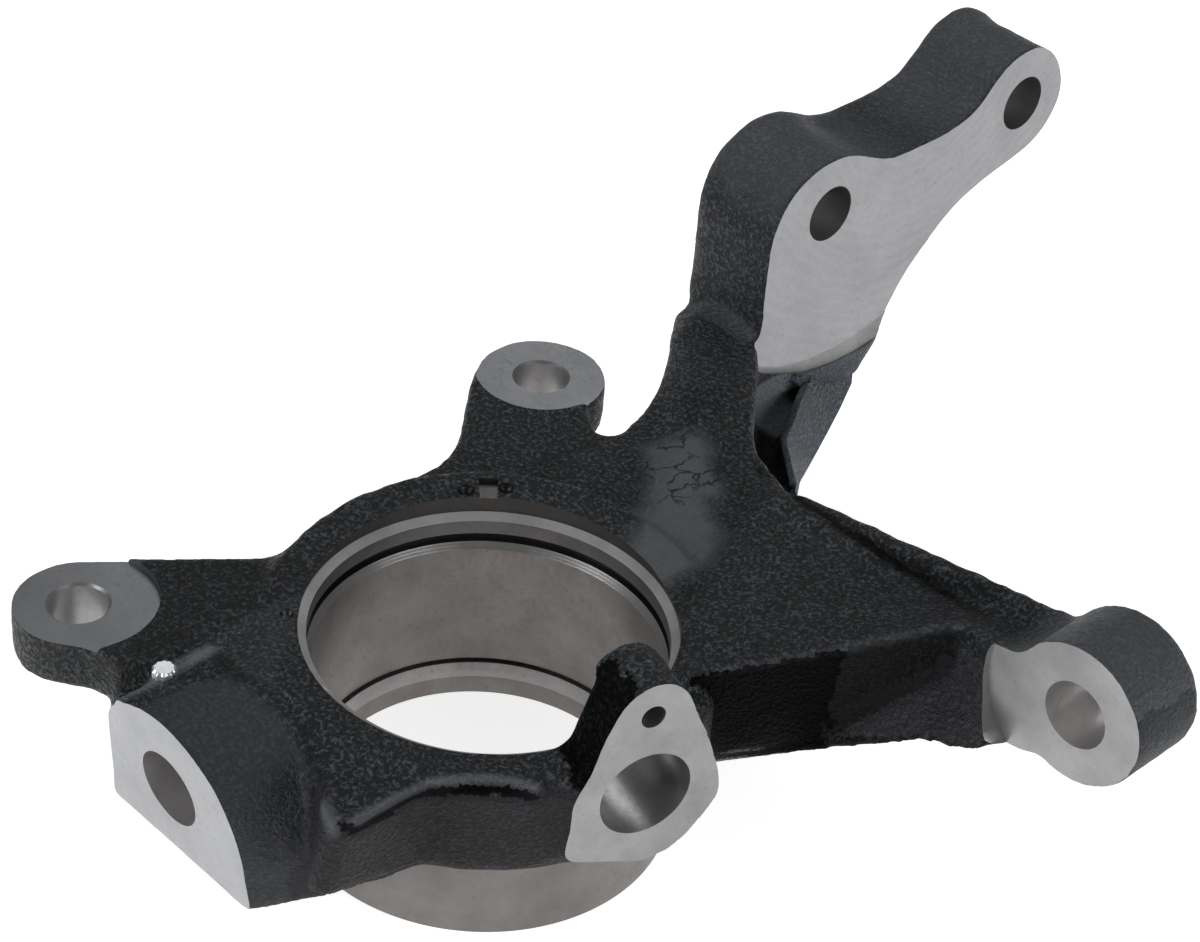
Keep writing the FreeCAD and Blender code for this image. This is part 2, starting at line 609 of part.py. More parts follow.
# Ball joint: tapered hole square to the tilted face, with its bevel
ball_tilt = math.radians(DIMS["ball_tilt"])
ball_dir = V(0, math.cos(ball_tilt), math.sin(ball_tilt))
ball_spot = ("dims.ball_x", "dims.ball_y", "dims.ball_z")
cutters.append(cone_tool("ball_taper", "dims.ball_large", "dims.ball_small", "dims.ball_depth", ball_spot, ball_dir))
cutters.append(cone_tool("ball_bevel", "dims.ball_mouth", "dims.ball_large", "dims.ball_bevel", ball_spot, ball_dir))

# Sensor hole through to the bore, and its screw hole
lug_x = "dims.lug_face * cos(dims.lug_turn) - dims.lug_across * sin(dims.lug_turn)"
lug_y = "dims.lug_face * sin(dims.lug_turn) + dims.lug_across * cos(dims.lug_turn)"
cutters.append(round_tool("sensor_hole", "dims.sensor_radius", "dims.lug_face - dims.seat_radius * 0.75",
                          (lug_x, lug_y, "dims.sensor_z"), lug_normal * -1))
cutters.append(round_tool("screw_hole", "dims.screw_radius", "dims.screw_depth",
                          (lug_x, lug_y, "dims.screw_z"), lug_normal * -1))

# The machined casting
tools = doc.addObject("Part::MultiFuse", "tools")
tools.Shapes = cutters
knuckle = doc.addObject("Part::Cut", "knuckle")
knuckle.Label = "knuckle"
knuckle.Base = casting
knuckle.Tool = tools
doc.recompute()

for obj in doc.Objects:
    if "Invalid" in obj.State or "Error" in obj.State:
        raise RuntimeError("%s failed: %s" % (obj.Name, obj.State))
for obj in casting.Shapes + cutters + [casting, tools, knuckle]:
    if obj.Shape.isNull() or not obj.Shape.isValid():
        raise RuntimeError("%s has no valid shape" % obj.Name)
if len(knuckle.Shape.Solids) != 1:
    raise RuntimeError("the knuckle is not one solid")
seat_volume = math.pi * DIMS["seat_radius"] ** 2 * DIMS["seat_length"]
if knuckle.Shape.Volume > casting.Shape.Volume - seat_volume:
    raise RuntimeError("the machining cut nothing")

os.makedirs("parts", exist_ok=True)
knuckle.Shape.exportStep("parts/knuckle.step")
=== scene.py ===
"""Looks of a cast steering knuckle: one painted casting with its faces and bores cut bare.

The casting's blank is the CAD solid with its holes filled and its milled faces raised. It is
remeshed, its inner corners filled and its edges worn round, given the lumps of a sand mould,
and then cut again by the same planes, cylinders and cones, so that each cut edge is crisp.
"""
import bpy
import bmesh
import math
import numpy as np
from mathutils import Matrix, Vector


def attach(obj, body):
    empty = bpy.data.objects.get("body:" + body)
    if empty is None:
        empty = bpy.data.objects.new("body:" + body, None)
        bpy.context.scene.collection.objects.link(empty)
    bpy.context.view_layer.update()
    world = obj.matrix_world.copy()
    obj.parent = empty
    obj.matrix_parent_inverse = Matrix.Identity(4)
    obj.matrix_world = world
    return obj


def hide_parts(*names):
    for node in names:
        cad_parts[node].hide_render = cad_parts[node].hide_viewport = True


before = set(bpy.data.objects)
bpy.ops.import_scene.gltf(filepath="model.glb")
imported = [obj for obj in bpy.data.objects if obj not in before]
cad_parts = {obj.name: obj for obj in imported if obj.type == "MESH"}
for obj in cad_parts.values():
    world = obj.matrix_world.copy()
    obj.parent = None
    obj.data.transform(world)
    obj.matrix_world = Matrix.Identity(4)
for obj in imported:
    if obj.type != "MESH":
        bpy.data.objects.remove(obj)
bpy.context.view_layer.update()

MM = 0.001
UP = np.array((0.0, 0.0, 1.0))

# Places of the machined features, in mm
STRUT_FACE = -37.0
STRUT_HOLES = ((137.1, 30.4), (205.2, 37.4))
STRUT_HOLE = 7.0
STRUT_BACK = -61.0
ARM = np.array((100.1, 63.4, 10.0))
ARM_CUTTER = 22.0
ARM_TAPER = (7.35, 6.2)
BALL = np.array((-19.2, -66.6, -20.0))
BALL_TILT = math.radians(5.71)
BALL_IN = np.array((0.0, math.cos(BALL_TILT), math.sin(BALL_TILT)))
BALL_RISE = np.array((0.0, -math.sin(BALL_TILT), math.cos(BALL_TILT)))
BALL_TAPER = (8.6, 7.1)
LUG_TURN = math.radians(-16.7)
LUG_OUT = np.array((math.cos(LUG_TURN), math.sin(LUG_TURN), 0.0))
LUG_SIDE = np.array((-math.sin(LUG_TURN), math.cos(LUG_TURN), 0.0))
LUG_FACE = 50.0
SENSOR = LUG_OUT * LUG_FACE + LUG_SIDE * 10.6 + UP * -7.0
SENSOR_HOLE = 9.9
SCREW = LUG_OUT * LUG_FACE + LUG_SIDE * 10.6 + UP * 12.7
SCREW_HOLE = 2.6
CAD_STUB = (-33.4, -57.4)
STUB = (-32.0, -58.0)
EAR_FACE = -2.1
EAR_UNDER = -13.6
EARS = ((-59.5, -59.1, 16.6), (-62.6, 71.6, 15.3))
EAR_HOLE = 6.15
EAR_CHAMFER = 0.55
SPIGOT = 40.8
SPIGOT_END = -46.9
SPIGOT_CLEAR = ((-66, 0), (42, 222))
SKIRT = -23.5
RIM_BEARING = math.radians(137.0)
RIM_TILT = math.radians(6.6)
RIM_LEVEL = -0.6

# How the blank is made, in mm: rise of its faces over the cut ones, width of its mesh, depth
# of its fillets, and how far the flange's back edge stands out and up from the solid's
RAISE = 1.5
VOXEL = 1.05
FILL = 1.9
BACK_OUT = 1.5
BACK_UP = 1.3

STUDIO_TINT = (0.965, 0.985, 1)


def mesh_piece(name, points, faces):
    """An object of this mesh, its points given in mm."""
    mesh = bpy.data.meshes.new(name)
    mesh.from_pydata((np.asarray(points) * MM).tolist(), [], [list(f) for f in faces])
    mesh.update()
    piece = bpy.data.objects.new(name, mesh)
    bpy.context.scene.collection.objects.link(piece)
    return piece


def turned(profile, steps=96):
    """Closed surface of revolution: radius and height follow the profile, the angle runs round.

    The profile runs upwards outside, from a pole on the axis to a pole on the axis.
    """
    profile = np.asarray(profile, float)
    ring = profile[1:-1]
    angle = np.linspace(0, 2 * np.pi, steps, endpoint=False)
    r = ring[:, 0][:, None]
    grid = np.stack([r * np.cos(angle), r * np.sin(angle), ring[:, 1][:, None] + 0 * angle], -1)
    points = np.concatenate([grid.reshape(-1, 3), [[0, 0, profile[0, 1]], [0, 0, profile[-1, 1]]]])
    rows = len(ring)
    i = np.arange(rows - 1)[:, None] * steps
    j = np.arange(steps)
    k = (j + 1) % steps
    quads = np.stack([i + j, i + k, i + steps + k, i + steps + j], -1).reshape(-1, 4).tolist()
    low = rows * steps
    foot = np.stack([np.full(steps, low), k, j], -1).tolist()
    top = np.stack([np.full(steps, low + 1), (rows - 1) * steps + j, (rows - 1) * steps + k], -1).tolist()
    return points, quads + foot + top


def along(points, foot, way):
    """Points turned so that their +Z runs along a direction, and moved to a foot."""
    turn = np.array(Vector(way).to_track_quat("Z", "Y").to_matrix())
    return np.asarray(points) @ turn.T + np.asarray(foot)


def cone(foot, way, length, r_foot, r_top, start=0.0, steps=96):
    """Closed cone or cylinder from a foot along a direction: radius goes evenly from foot to top."""
    stop = start + length
    points, faces = turned([(0, start), (r_foot, start), (r_top, stop), (0, stop)], steps)
    return along(points, foot, np.asarray(way, float)), faces


def prism(outline, origin, side, rise, out, depth):
    """Closed block over an outline in a plane.

    Its points lie at origin + u side + v rise, and again at that plus out times the depth.
    """
    outline = np.asarray(outline, float)
    flat = np.asarray(origin) + outline[:, :1] * np.asarray(side) + outline[:, 1:] * np.asarray(rise)
    count = len(outline)
    i = np.arange(count)
    k = (i + 1) % count
    walls = np.stack([i, k, k + count, i + count], -1).tolist()
    return (np.concatenate([flat, flat + np.asarray(out) * depth]),
            [i[::-1].tolist(), (i + count).tolist()] + walls)


def loft(loops):
    """Closed surface through loops of equal length: quads between them, and a lid at each end.

    The loops run anticlockwise when seen from the last one's side.
    """
    grid = np.asarray(loops, float)
    rows, count = grid.shape[:2]
    i = np.arange(rows - 1)[:, None] * count
    j = np.arange(count)
    k = (j + 1) % count
    quads = np.stack([i + j, i + k, i + count + k, i + count + j], -1).reshape(-1, 4).tolist()
    lids = [j[::-1].tolist(), (j + (rows - 1) * count).tolist()]
    return grid.reshape(-1, 3), quads + lids


def ring_sector(r_in, r_out, low, high, start, stop, steps):
    """Closed part of a ring: a rectangle in radius and height carried round between two angles."""
    angle = np.radians(np.linspace(start, stop, steps + 1))
    corners = np.array([(r_in, low), (r_out, low), (r_out, high), (r_in, high)])
    r = corners[:, 0][None]
    grid = np.stack([r * np.cos(angle)[:, None], r * np.sin(angle)[:, None],
                     corners[:, 1][None] + 0 * angle[:, None]], -1)
    i = np.arange(steps)[:, None] * 4
    j = np.arange(4)
    k = (j + 1) % 4
    quads = np.stack([i + j, i + 4 + j, i + 4 + k, i + k], -1).reshape(-1, 4).tolist()
    last = steps * 4
    return grid.reshape(-1, 3), quads + [[0, 1, 2, 3], [last + 3, last + 2, last + 1, last]]


def box_outline(left, right, low, high):
    """Four corners of a rectangle, anticlockwise."""
    return [(left, low), (right, low), (right, high), (left, high)]


def rim_plane(x, y):
    """Height of the tilted plane that ends the raised rim: it climbs along its bearing."""
    return RIM_LEVEL + math.tan(RIM_TILT) * (x * math.cos(RIM_BEARING) + y * math.sin(RIM_BEARING))


def joined(parts):
    """Several closed surfaces as one list of points and faces."""
    points = []
    faces = []
    count = 0
    for p, f in parts:
        points.append(np.asarray(p, float))
        faces += [[v + count for v in face] for face in f]
        count += len(p)
    return np.concatenate(points), faces


def coords(piece):
    """The piece's points as an array, in mm."""
    flat = np.empty(len(piece.data.vertices) * 3)
    piece.data.vertices.foreach_get("co", flat)
    return flat.reshape(-1, 3) / MM


def set_coords(piece, points):
    """Put an array of points, in mm, back into the piece."""
    piece.data.vertices.foreach_set("co", (points * MM).ravel())
    piece.data.update()


def normals(piece):
    """The piece's vertex normals as an array."""
    flat = np.empty(len(piece.data.vertices) * 3, np.float32)
    piece.data.vertex_normals.foreach_get("vector", flat)
    return flat.reshape(-1, 3).astype(float)


def settle(piece):
    """Put the outcome of the piece's modifiers into its mesh."""
    graph = bpy.context.evaluated_depsgraph_get()
    done = bpy.data.meshes.new_from_object(piece.evaluated_get(graph))
    piece.modifiers.clear()
    piece.data = done


def remesh(piece, voxel):
    """Even mesh over the piece, voxel mm wide."""
    step = piece.modifiers.new("remesh", "REMESH")
    step.mode = "VOXEL"
    step.voxel_size = voxel * MM
    settle(piece)


def smooth(piece, factor, rounds, chosen=None):
    """Even out a piece's surface, or only its chosen vertices."""
    step = piece.modifiers.new("smooth", "SMOOTH")
    step.factor = factor
    step.iterations = rounds
    if chosen is not None:
        group = piece.vertex_groups.new(name="chosen")
        group.add(np.nonzero(chosen)[0].tolist(), 1.0, "REPLACE")
        step.vertex_group = group.name
    settle(piece)


def lattice_noise(points, cell, seed, size=48):
    """Smooth noise from -1 to 1: random values on a cubic lattice of this cell, blended between."""
    values = np.random.default_rng(seed).uniform(-1, 1, (size, size, size))
    place = np.asarray(points) / cell
    base = np.floor(place).astype(int)
    part = place - base
    part = part * part * (3 - 2 * part)
    total = 0.0
    for dx in (0, 1):
        for dy in (0, 1):
            for dz in (0, 1):
                corner = np.array((dx, dy, dz))
                share = np.where(corner, part, 1 - part).prod(1)
                total = total + share * values[tuple(((base + corner) % size).T)]
    return total


def edge_gaps(points, heads, tails):
    """Distance of each point to the nearest of these straight edges."""
    run = tails - heads
    off = points[:, None, :] - heads[None]
    share = np.clip((off * run).sum(2) / (run * run).sum(1), 0, 1)
    return np.linalg.norm(off - share[..., None] * run, axis=2).min(1)


def along_path(points, path, reach):
    """Share that falls from 1 on a path to 0 at this distance from it."""
    path = np.asarray(path, float)
    return np.clip(1 - edge_gaps(points, path[:-1], path[1:]) / reach, 0, 1)


def within(points, outline, fade):
    """Share from 0 to 1 inside an outline in plan, blended over this width at its edge."""
    flat = points[:, :2]
    heads = np.asarray(outline, float)
    tails = np.roll(heads, -1, 0)
    gap = edge_gaps(flat, heads, tails)
    across = (heads[None, :, 1] > flat[:, 1:]) != (tails[None, :, 1] > flat[:, 1:])
    rise = tails[:, 1] - heads[:, 1]
    slope = (tails[:, 0] - heads[:, 0]) / np.where(rise == 0, 1, rise)
    cross = across & (flat[:, :1] < heads[None, :, 0] + slope * (flat[:, 1:] - heads[None, :, 1]))
    return np.clip(0.5 + np.where(cross.sum(1) % 2 == 1, gap, -gap) / fade, 0, 1)


# The blank: the CAD solid with raised faces and filled holes
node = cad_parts["knuckle"]
casting = bpy.data.objects.new("knuckle_casting", node.data.copy())
bpy.context.scene.collection.objects.link(casting)
work = bmesh.new()
work.from_mesh(casting.data)
bmesh.ops.remove_doubles(work, verts=work.verts, dist=0.002 * MM)
bmesh.ops.recalc_face_normals(work, faces=work.faces)
work.to_mesh(casting.data)
work.free()

# Points this near a machined plane belong to it
near = 0.03
solid = coords(casting)
x, y, z = solid.T
solid[(np.hypot(x - CAD_STUB[0], y - CAD_STUB[1]) < 2.6) & (z > 0.5) & (z < 3.5), 2] = -3.0
solid[(abs(x - STRUT_FACE) < near) & (y > 112) & (y < 240)] += (RAISE, 0, 0)
arm_way = np.hypot(x - ARM[0], z - ARM[2])
solid[(abs(y - ARM[1]) < near) & (arm_way < ARM_CUTTER + 0.1)] -= (0, RAISE, 0)
solid[(abs((solid - BALL) @ BALL_IN) < near) & (y < -60)] -= BALL_IN * RAISE
lug_way = solid @ LUG_SIDE
solid[(abs(solid @ LUG_OUT - LUG_FACE) < near) & (abs(lug_way - 10.6) < 30) & (z > -30)] += LUG_OUT * RAISE
for ear_x, ear_y, cutter in EARS:
    solid[(abs(z - EAR_FACE) < near) & (np.hypot(x - ear_x, y - ear_y) < cutter + 0.1)] += (0, 0, RAISE)
solid[abs(z - SPIGOT_END) < near] -= (0, 0, RAISE)
solid[(x < -56) & (y > 118) & (z > 3)] -= (BACK_OUT, 0, 0)
flange_back = (x < -56) & (y > 118)
solid[flange_back, 2] += BACK_UP * np.clip((z[flange_back] - 14) / 24, 0, 1)

blank_parts = [(solid, [list(f.vertices) for f in casting.data.polygons])]
blank_parts.append(cone((0, 0, SPIGOT_END - RAISE), UP, RAISE - SPIGOT_END, SPIGOT - 1.5, SPIGOT - 1.5))
blank_parts.append(cone((0, 0, SPIGOT_END - RAISE), UP, 10, SPIGOT + RAISE, SPIGOT + RAISE))
for start, stop in SPIGOT_CLEAR:
    blank_parts.append(ring_sector(SPIGOT - 4, SPIGOT + RAISE, -38.5, SKIRT + 1,
                                   start - 1, stop + 1, 90))
rim_points, rim_faces = turned([(0, -4), (39.8, -4), (39.8, 0), (0, 0)], 192)
rim_points = np.array(rim_points)
lifted = rim_points[:, 2] > -1
rim_points[lifted, 2] = np.maximum(rim_plane(rim_points[lifted, 0], rim_points[lifted, 1]), 0.0)
blank_parts.append((rim_points, rim_faces))
# Plugs, a little wider than the holes that they fill
for hole_y, hole_z in STRUT_HOLES:
    blank_parts.append(cone((STRUT_BACK, hole_y, hole_z), (1, 0, 0),
                            STRUT_FACE - STRUT_BACK + RAISE, 7.5, 7.5))
blank_parts.append(cone(ARM, (0, 1, 0), 19.6 + RAISE, 8.0, 8.0, -RAISE))
blank_parts.append(cone(BALL, BALL_IN, 28 + RAISE, 10.0, 9.0, -RAISE))
blank_parts.append(cone(SENSOR, -LUG_OUT, 20 + RAISE, 10.4, 10.4, -RAISE))
blank_parts.append(cone(SCREW, -LUG_OUT, 12 + RAISE, 3.2, 3.2, -RAISE))
for ear_x, ear_y, cutter in EARS:
    blank_parts.append(cone((ear_x, ear_y, EAR_UNDER), UP, EAR_FACE + RAISE - EAR_UNDER, 7.0, 7.0))
lip_low = [(116.5, -13.8), (130, -14.6), (156, -14.6), (158.5, -12.5), (158.5, -4), (116.5, -1)]
blank_parts.append(prism(lip_low, (STRUT_FACE - 4, 0, 0), (0, 1, 0), UP, (1, 0, 0), 5.6))
blank = mesh_piece("blank", *joined(blank_parts))
casting.data = blank.data
bpy.data.objects.remove(blank)

# Places where the mould's corners are sharp: centre and reach in mm
SHARP = (((20, -54, -8), 17), ((12, -54, -18), 14), ((-28, 118, -15), 22), ((-36, 145, -16), 14),
         ((50, 32, -14), 16), ((62, 50, -4), 16), ((47, 26, -2), 12), ((-33, -57, -4), 12),
         ((-60, 108, 4), 10))


def fill_depth(points):
    """How far corners are filled at each point: less near the sharp places."""
    share = np.ones(len(points))
    for place, reach in SHARP:
        gap = np.linalg.norm(points - np.array(place), axis=1)
        share = np.minimum(share, np.clip(gap / reach - 0.55, 0, 1))
    return FILL * np.clip(share * 2.2, 0.16, 1)


# Inner corners filled: grown, remeshed and shrunk again, so that outer edges keep their place
remesh(casting, VOXEL)
grown = coords(casting)
set_coords(casting, grown + normals(casting) * fill_depth(grown)[:, None])
remesh(casting, VOXEL)
grown = coords(casting)
set_coords(casting, grown - normals(casting) * fill_depth(grown)[:, None])
remesh(casting, VOXEL)
smooth(casting, 0.5, 2)
# The arm's long edges are smooth in the mould
x, y, z = coords(casting).T
smooth(casting, 0.5, 9, ((x > 42) & (z < 4) & (y < 64)) | ((x > -4) & (x < 80) & (y > 66)))

# Lines of the casting: path, reach and lift in mm, added lightness, which is a painted highlight, and
# darkness, which is painted shade
BOSS_CREST = ((-33.6, -68.0, -7.0), (-32.6, -64.6, -5.3), (-31.6, -61.0, -3.9), (-31.4, -57.0, -2.6),
              (-31.4, -53.0, -2.6), (-30.6, -49.2, -1.6), (-30.8, -47.5, -1.6))
EAR_ONE_FOLD = ((-31.5, -20.0, -0.8), (-33.0, -25.4, -0.8), (-35.7, -36.2, -0.8), (-34.9, -47.0, -0.8))
EAR_TWO_FOLD = ((-36.4, 36.8, -0.8), (-36.7, 47.5, -0.8), (-35.4, 58.4, -0.8), (-33.4, 70.4, -0.8))
CROWN_RIDGE = ((26.0, -57.4, -1.8), (25.9, -51.8, -1.6), (26.1, -45.8, -1.5), (27.2, -39.3, -1.0),
               (31.6, -33.1, -0.2), (35.5, -28.9, -0.1), (38.5, -26.4, -0.4), (40.9, -24.6, -1.5))
ARM_RIDGE = ((43.0, 19.0, 4.2), (43.1, 22.9, 4.4), (51.8, 36.6, 6.6), (62.7, 53.8, 10.2),
             (69.6, 63.7, 12.4))
ARM_CREASE = ((43.5, 25.7, -19.4), (47.9, 33.0, -19.2), (53.5, 38.6, -16.5), (58.6, 44.4, -12.0),
              (65.7, 54.9, -4.3), (69.2, 60.7, -0.2))
FAR_GROOVE = ((-3.8, 83.5, -0.1), (14.2, 76.5, 5.5), (29.3, 75.9, 6.3), (43.4, 76.1, 6.0),
              (56.5, 76.6, 6.5), (67.0, 74.8, 8.8))
CROWN_SHADE = ((26.4, -57.4, -4.0), (26.7, -51.7, -3.6), (26.7, -46.3, -3.2), (28.0, -39.9, -2.8),
               (32.8, -34.1, -1.8), (36.4, -30.0, -1.6), (39.5, -27.2, -1.9), (41.9, -25.0, -3.0))
BOSS_EDGE = ((-29.7, -47.1, -1.6), (-20.3, -48.1, -0.4), (-12.3, -47.0, -0.2), (-2.8, -47.6, -0.8),
             (5.1, -50.7, -2.6), (15.2, -56.4, -2.8), (19.5, -58.2, -2.4))
CREST_SHADE = ((-37.0, -50.0, -0.8), (-38.8, -57.5, -0.8), (-38.0, -63.5, -4.0))
BOSS_SHADE_LINE = ((-28.0, -48.0, -1.2), (-24.0, -48.4, -1.2), (-19.0, -49.6, -1.0))
CORNER_PIT = ((25.2, -58.9, -2.6), (26.4, -57.8, -3.0))
FACET = ((17.6, -57.6, -4.0), (22.6, -59.4, -3.8))
# Painted highlights on the boss's crest, the crown's and the arm's ridges and a facet; painted shade in
# the folds, the crease, the grooves, the pit, beside the boss's edge and under the ridge and crest
LINES = ((BOSS_CREST, 2.4, 0.8, 0.9, 0.0), (EAR_ONE_FOLD, 1.8, -0.3, 0.0, 0.5),
         (EAR_TWO_FOLD, 1.8, -0.3, 0.0, 0.5), (CROWN_RIDGE, 1.6, 0.35, 0.65, 0.0),
         (CROWN_SHADE, 1.9, -0.5, 0.0, 1.0), (ARM_RIDGE, 1.6, 0.3, 0.25, 0.0),
         (ARM_CREASE, 1.8, -0.4, 0.0, 0.6), (FAR_GROOVE, 2.2, -0.7, 0.0, 1.0),
         (BOSS_EDGE, 1.3, -0.3, 0.0, 0.5), (CREST_SHADE, 4.5, 0.0, 0.0, 0.8),
         (BOSS_SHADE_LINE, 2.6, -0.3, 0.0, 1.0), (CORNER_PIT, 1.8, -0.6, 0.0, 1.0),
         (FACET, 2.8, 0.0, 1.0, 0.0))

# Lumps of the sand mould
cast = coords(casting)
lift = (0.11 * lattice_noise(cast, 7.0, 1) + 0.09 * lattice_noise(cast, 3.1, 2)
        + 0.06 * lattice_noise(cast, 1.9, 3))
for path, reach, height, _, _ in LINES:
    lift += height * along_path(cast, path, reach)
set_coords(casting, cast + normals(casting) * lift[:, None])


# Materials
def material(name):
    """An empty node material with its tree, its output's shader and the object's coordinates."""
    made = bpy.data.materials.new(name)
    made.use_nodes = True
    tree = made.node_tree
    shader = tree.nodes["Principled BSDF"]
    place = tree.nodes.new("ShaderNodeTexCoord").outputs["Object"]
    return made, tree, shader, place


def noise(tree, place, scale, detail=3.0, rough=0.55):
    """Noise of this scale (cells per metre)."""
    n = tree.nodes.new("ShaderNodeTexNoise")
    n.inputs["Scale"].default_value = scale
    n.inputs["Detail"].default_value = detail
    n.inputs["Roughness"].default_value = rough
    tree.links.new(place, n.inputs["Vector"])
    return n.outputs["Fac"]


def ramp(tree, value, stops):
    """Colour by value: stops are (place, colour)."""
    n = tree.nodes.new("ShaderNodeValToRGB")
    band = n.color_ramp
    band.elements[0].position = stops[0][0]
    band.elements[0].color = (*stops[0][1], 1)
    band.elements[1].position = stops[-1][0]
    band.elements[1].color = (*stops[-1][1], 1)
    for spot, colour in stops[1:-1]:
        e = band.elements.new(spot)
        e.color = (*colour, 1)
    tree.links.new(value, n.inputs["Fac"])
    return n.outputs["Color"]


def span(tree, value, low, high, out_low, out_high):
    """Value taken from one range into another, held at its ends."""
    n = tree.nodes.new("ShaderNodeMapRange")
    n.inputs["From Min"].default_value = low
    n.inputs["From Max"].default_value = high
    n.inputs["To Min"].default_value = out_low
    n.inputs["To Max"].default_value = out_high
    tree.links.new(value, n.inputs["Value"])
    return n.outputs["Result"]


def blend(tree, share, one, two):
    """Colour between two, by a share from 0 to 1; each is a colour or a socket."""
    n = tree.nodes.new("ShaderNodeMix")
    n.data_type = "RGBA"
    for socket, given in ((n.inputs[6], one), (n.inputs[7], two)):
        if isinstance(given, tuple):
            socket.default_value = (*given, 1)
        else:
            tree.links.new(given, socket)
    tree.links.new(share, n.inputs[0])
    return n.outputs[2]


def math_node(tree, kind, one, two, three=None):
    """Sum of this kind; each term is a number or a socket."""
    n = tree.nodes.new("ShaderNodeMath")
    n.operation = kind
    for socket, given in zip(n.inputs, (one, two, three)):
        if given is None:
            continue
        if isinstance(given, (int, float)):
            socket.default_value = given
        else:
            tree.links.new(given, socket)
    return n.outputs[0]


def bump(tree, shader, layers):
    """Bumps stacked on one normal: layers are (height socket, height in mm)."""
    normal = None
    for height, depth in layers:
        n = tree.nodes.new("ShaderNodeBump")
        n.inputs["Strength"].default_value = 1.0
        n.inputs["Distance"].default_value = depth * MM
        tree.links.new(height, n.inputs["Height"])
        if normal is not None:
            tree.links.new(normal, n.inputs["Normal"])
        normal = n.outputs["Normal"]
    tree.links.new(normal, shader.inputs["Normal"])


def grey(level, warm=0.0):
    """A grey of this level, a little warm or cold."""
    return (level * (1 + warm), level * 0.99, level * (1 - warm))


def attribute(tree, name):
    """Node that reads one of the mesh's attributes."""
    n = tree.nodes.new("ShaderNodeAttribute")
    n.attribute_name = name
    return n


def ring_wave(tree, vector, pitch, distortion, detail, detail_scale):
    """Rings about the local Z axis, a pitch apart in mm and a little crooked."""
    n = tree.nodes.new("ShaderNodeTexWave")
    n.wave_type = "RINGS"
    n.rings_direction = "Z"
    n.inputs["Scale"].default_value = math.pi / 10 / (pitch * MM)
    n.inputs["Distortion"].default_value = distortion
    n.inputs["Detail"].default_value = detail
    n.inputs["Detail Scale"].default_value = detail_scale
    tree.links.new(vector, n.inputs["Vector"])
    return n.outputs["Fac"]


def crack_share(tree, place):
    """Thin crooked cracks where the mesh is marked: edges of bent cells, broken up by noise."""
    swirl = tree.nodes.new("ShaderNodeTexNoise")
    swirl.inputs["Scale"].default_value = 420
    swirl.inputs["Detail"].default_value = 3
    tree.links.new(place, swirl.inputs["Vector"])
    bent = tree.nodes.new("ShaderNodeVectorMath")
    bent.operation = "MULTIPLY_ADD"
    bent.inputs[1].default_value = (0.004, 0.004, 0.004)
    tree.links.new(swirl.outputs["Color"], bent.inputs[0])
    tree.links.new(place, bent.inputs[2])
    cells = tree.nodes.new("ShaderNodeTexVoronoi")
    cells.feature = "DISTANCE_TO_EDGE"
    cells.inputs["Scale"].default_value = 170
    tree.links.new(bent.outputs[0], cells.inputs["Vector"])
    lines = span(tree, cells.outputs["Distance"], 0.012, 0.04, 1, 0)
    unbroken = span(tree, noise(tree, place, 120, 2), 0.42, 0.5, 0, 1)
    share = math_node(tree, "MULTIPLY", lines, unbroken)
    return math_node(tree, "MULTIPLY", share, attribute(tree, "marks").outputs["Fac"])


def cast_paint(name, level, dark, light, specular, crest_at=(0.71, 0.95)):
    """Black satin paint with a blue-green tint over the grain of a sand mould.

    The grain is two noises, of about 1 mm and 0.5 mm: their sum lifts the surface, and lightens
    and smooths its crests, where the paint is worn; the lighter crests also paint the sparkle of
    light on the grain. The mesh's look attribute holds the added lightness, mostly painted light,
    the strength of the grain, the share of a purple grey that paints the pale floor's reflection,
    and the darkness, mostly painted shade.
    """
    made, tree, shader, place = material(name)
    given = attribute(tree, "look")
    parts = tree.nodes.new("ShaderNodeSeparateColor")
    tree.links.new(given.outputs["Color"], parts.inputs["Color"])
    added, strength, purple = parts.outputs
    broad = noise(tree, place, 70, 4)
    grain = noise(tree, place, 1050, 2, 0.55)
    fine = noise(tree, place, 2400, 2, 0.6)
    height = math_node(tree, "MULTIPLY_ADD", fine, 0.45, grain)
    crest = span(tree, height, *crest_at, 0, 1)
    crest = math_node(tree, "MULTIPLY", crest, strength)
    tone = ramp(tree, broad, [(0.3, grey(dark * 0.7, -0.15)), (0.7, grey(dark * 1.3, -0.15))])
    # Crests lightened: worn paint, and a painted sparkle of light
    worn = blend(tree, crest, tone, grey(light, -0.09))
    smooth_tone = blend(tree, added, worn, grey(level, -0.07))
    cracks = crack_share(tree, place)
    smooth_tone = blend(tree, cracks, smooth_tone, (0.001, 0.001, 0.001))
    purple_share = math_node(tree, "MULTIPLY", purple, 0.6)
    # Purple grey: painted reflection of the pale floor; then darkness, mostly painted shade
    tinted = blend(tree, purple_share, smooth_tone, (0.040, 0.036, 0.042))
    darkened = blend(tree, given.outputs["Alpha"], tinted, (0.001, 0.001, 0.0012))
    tree.links.new(darkened, shader.inputs["Base Color"])
    tree.links.new(span(tree, crest, 0, 1, 0.52, 0.32), shader.inputs["Roughness"])
    shader.inputs["Specular IOR Level"].default_value = specular
    relief = math_node(tree, "MULTIPLY", height, strength)
    relief = math_node(tree, "MULTIPLY_ADD", cracks, -0.5, relief)
    bump(tree, shader, [(noise(tree, place, 260, 2), 0.3), (relief, 1.8)])
    return made


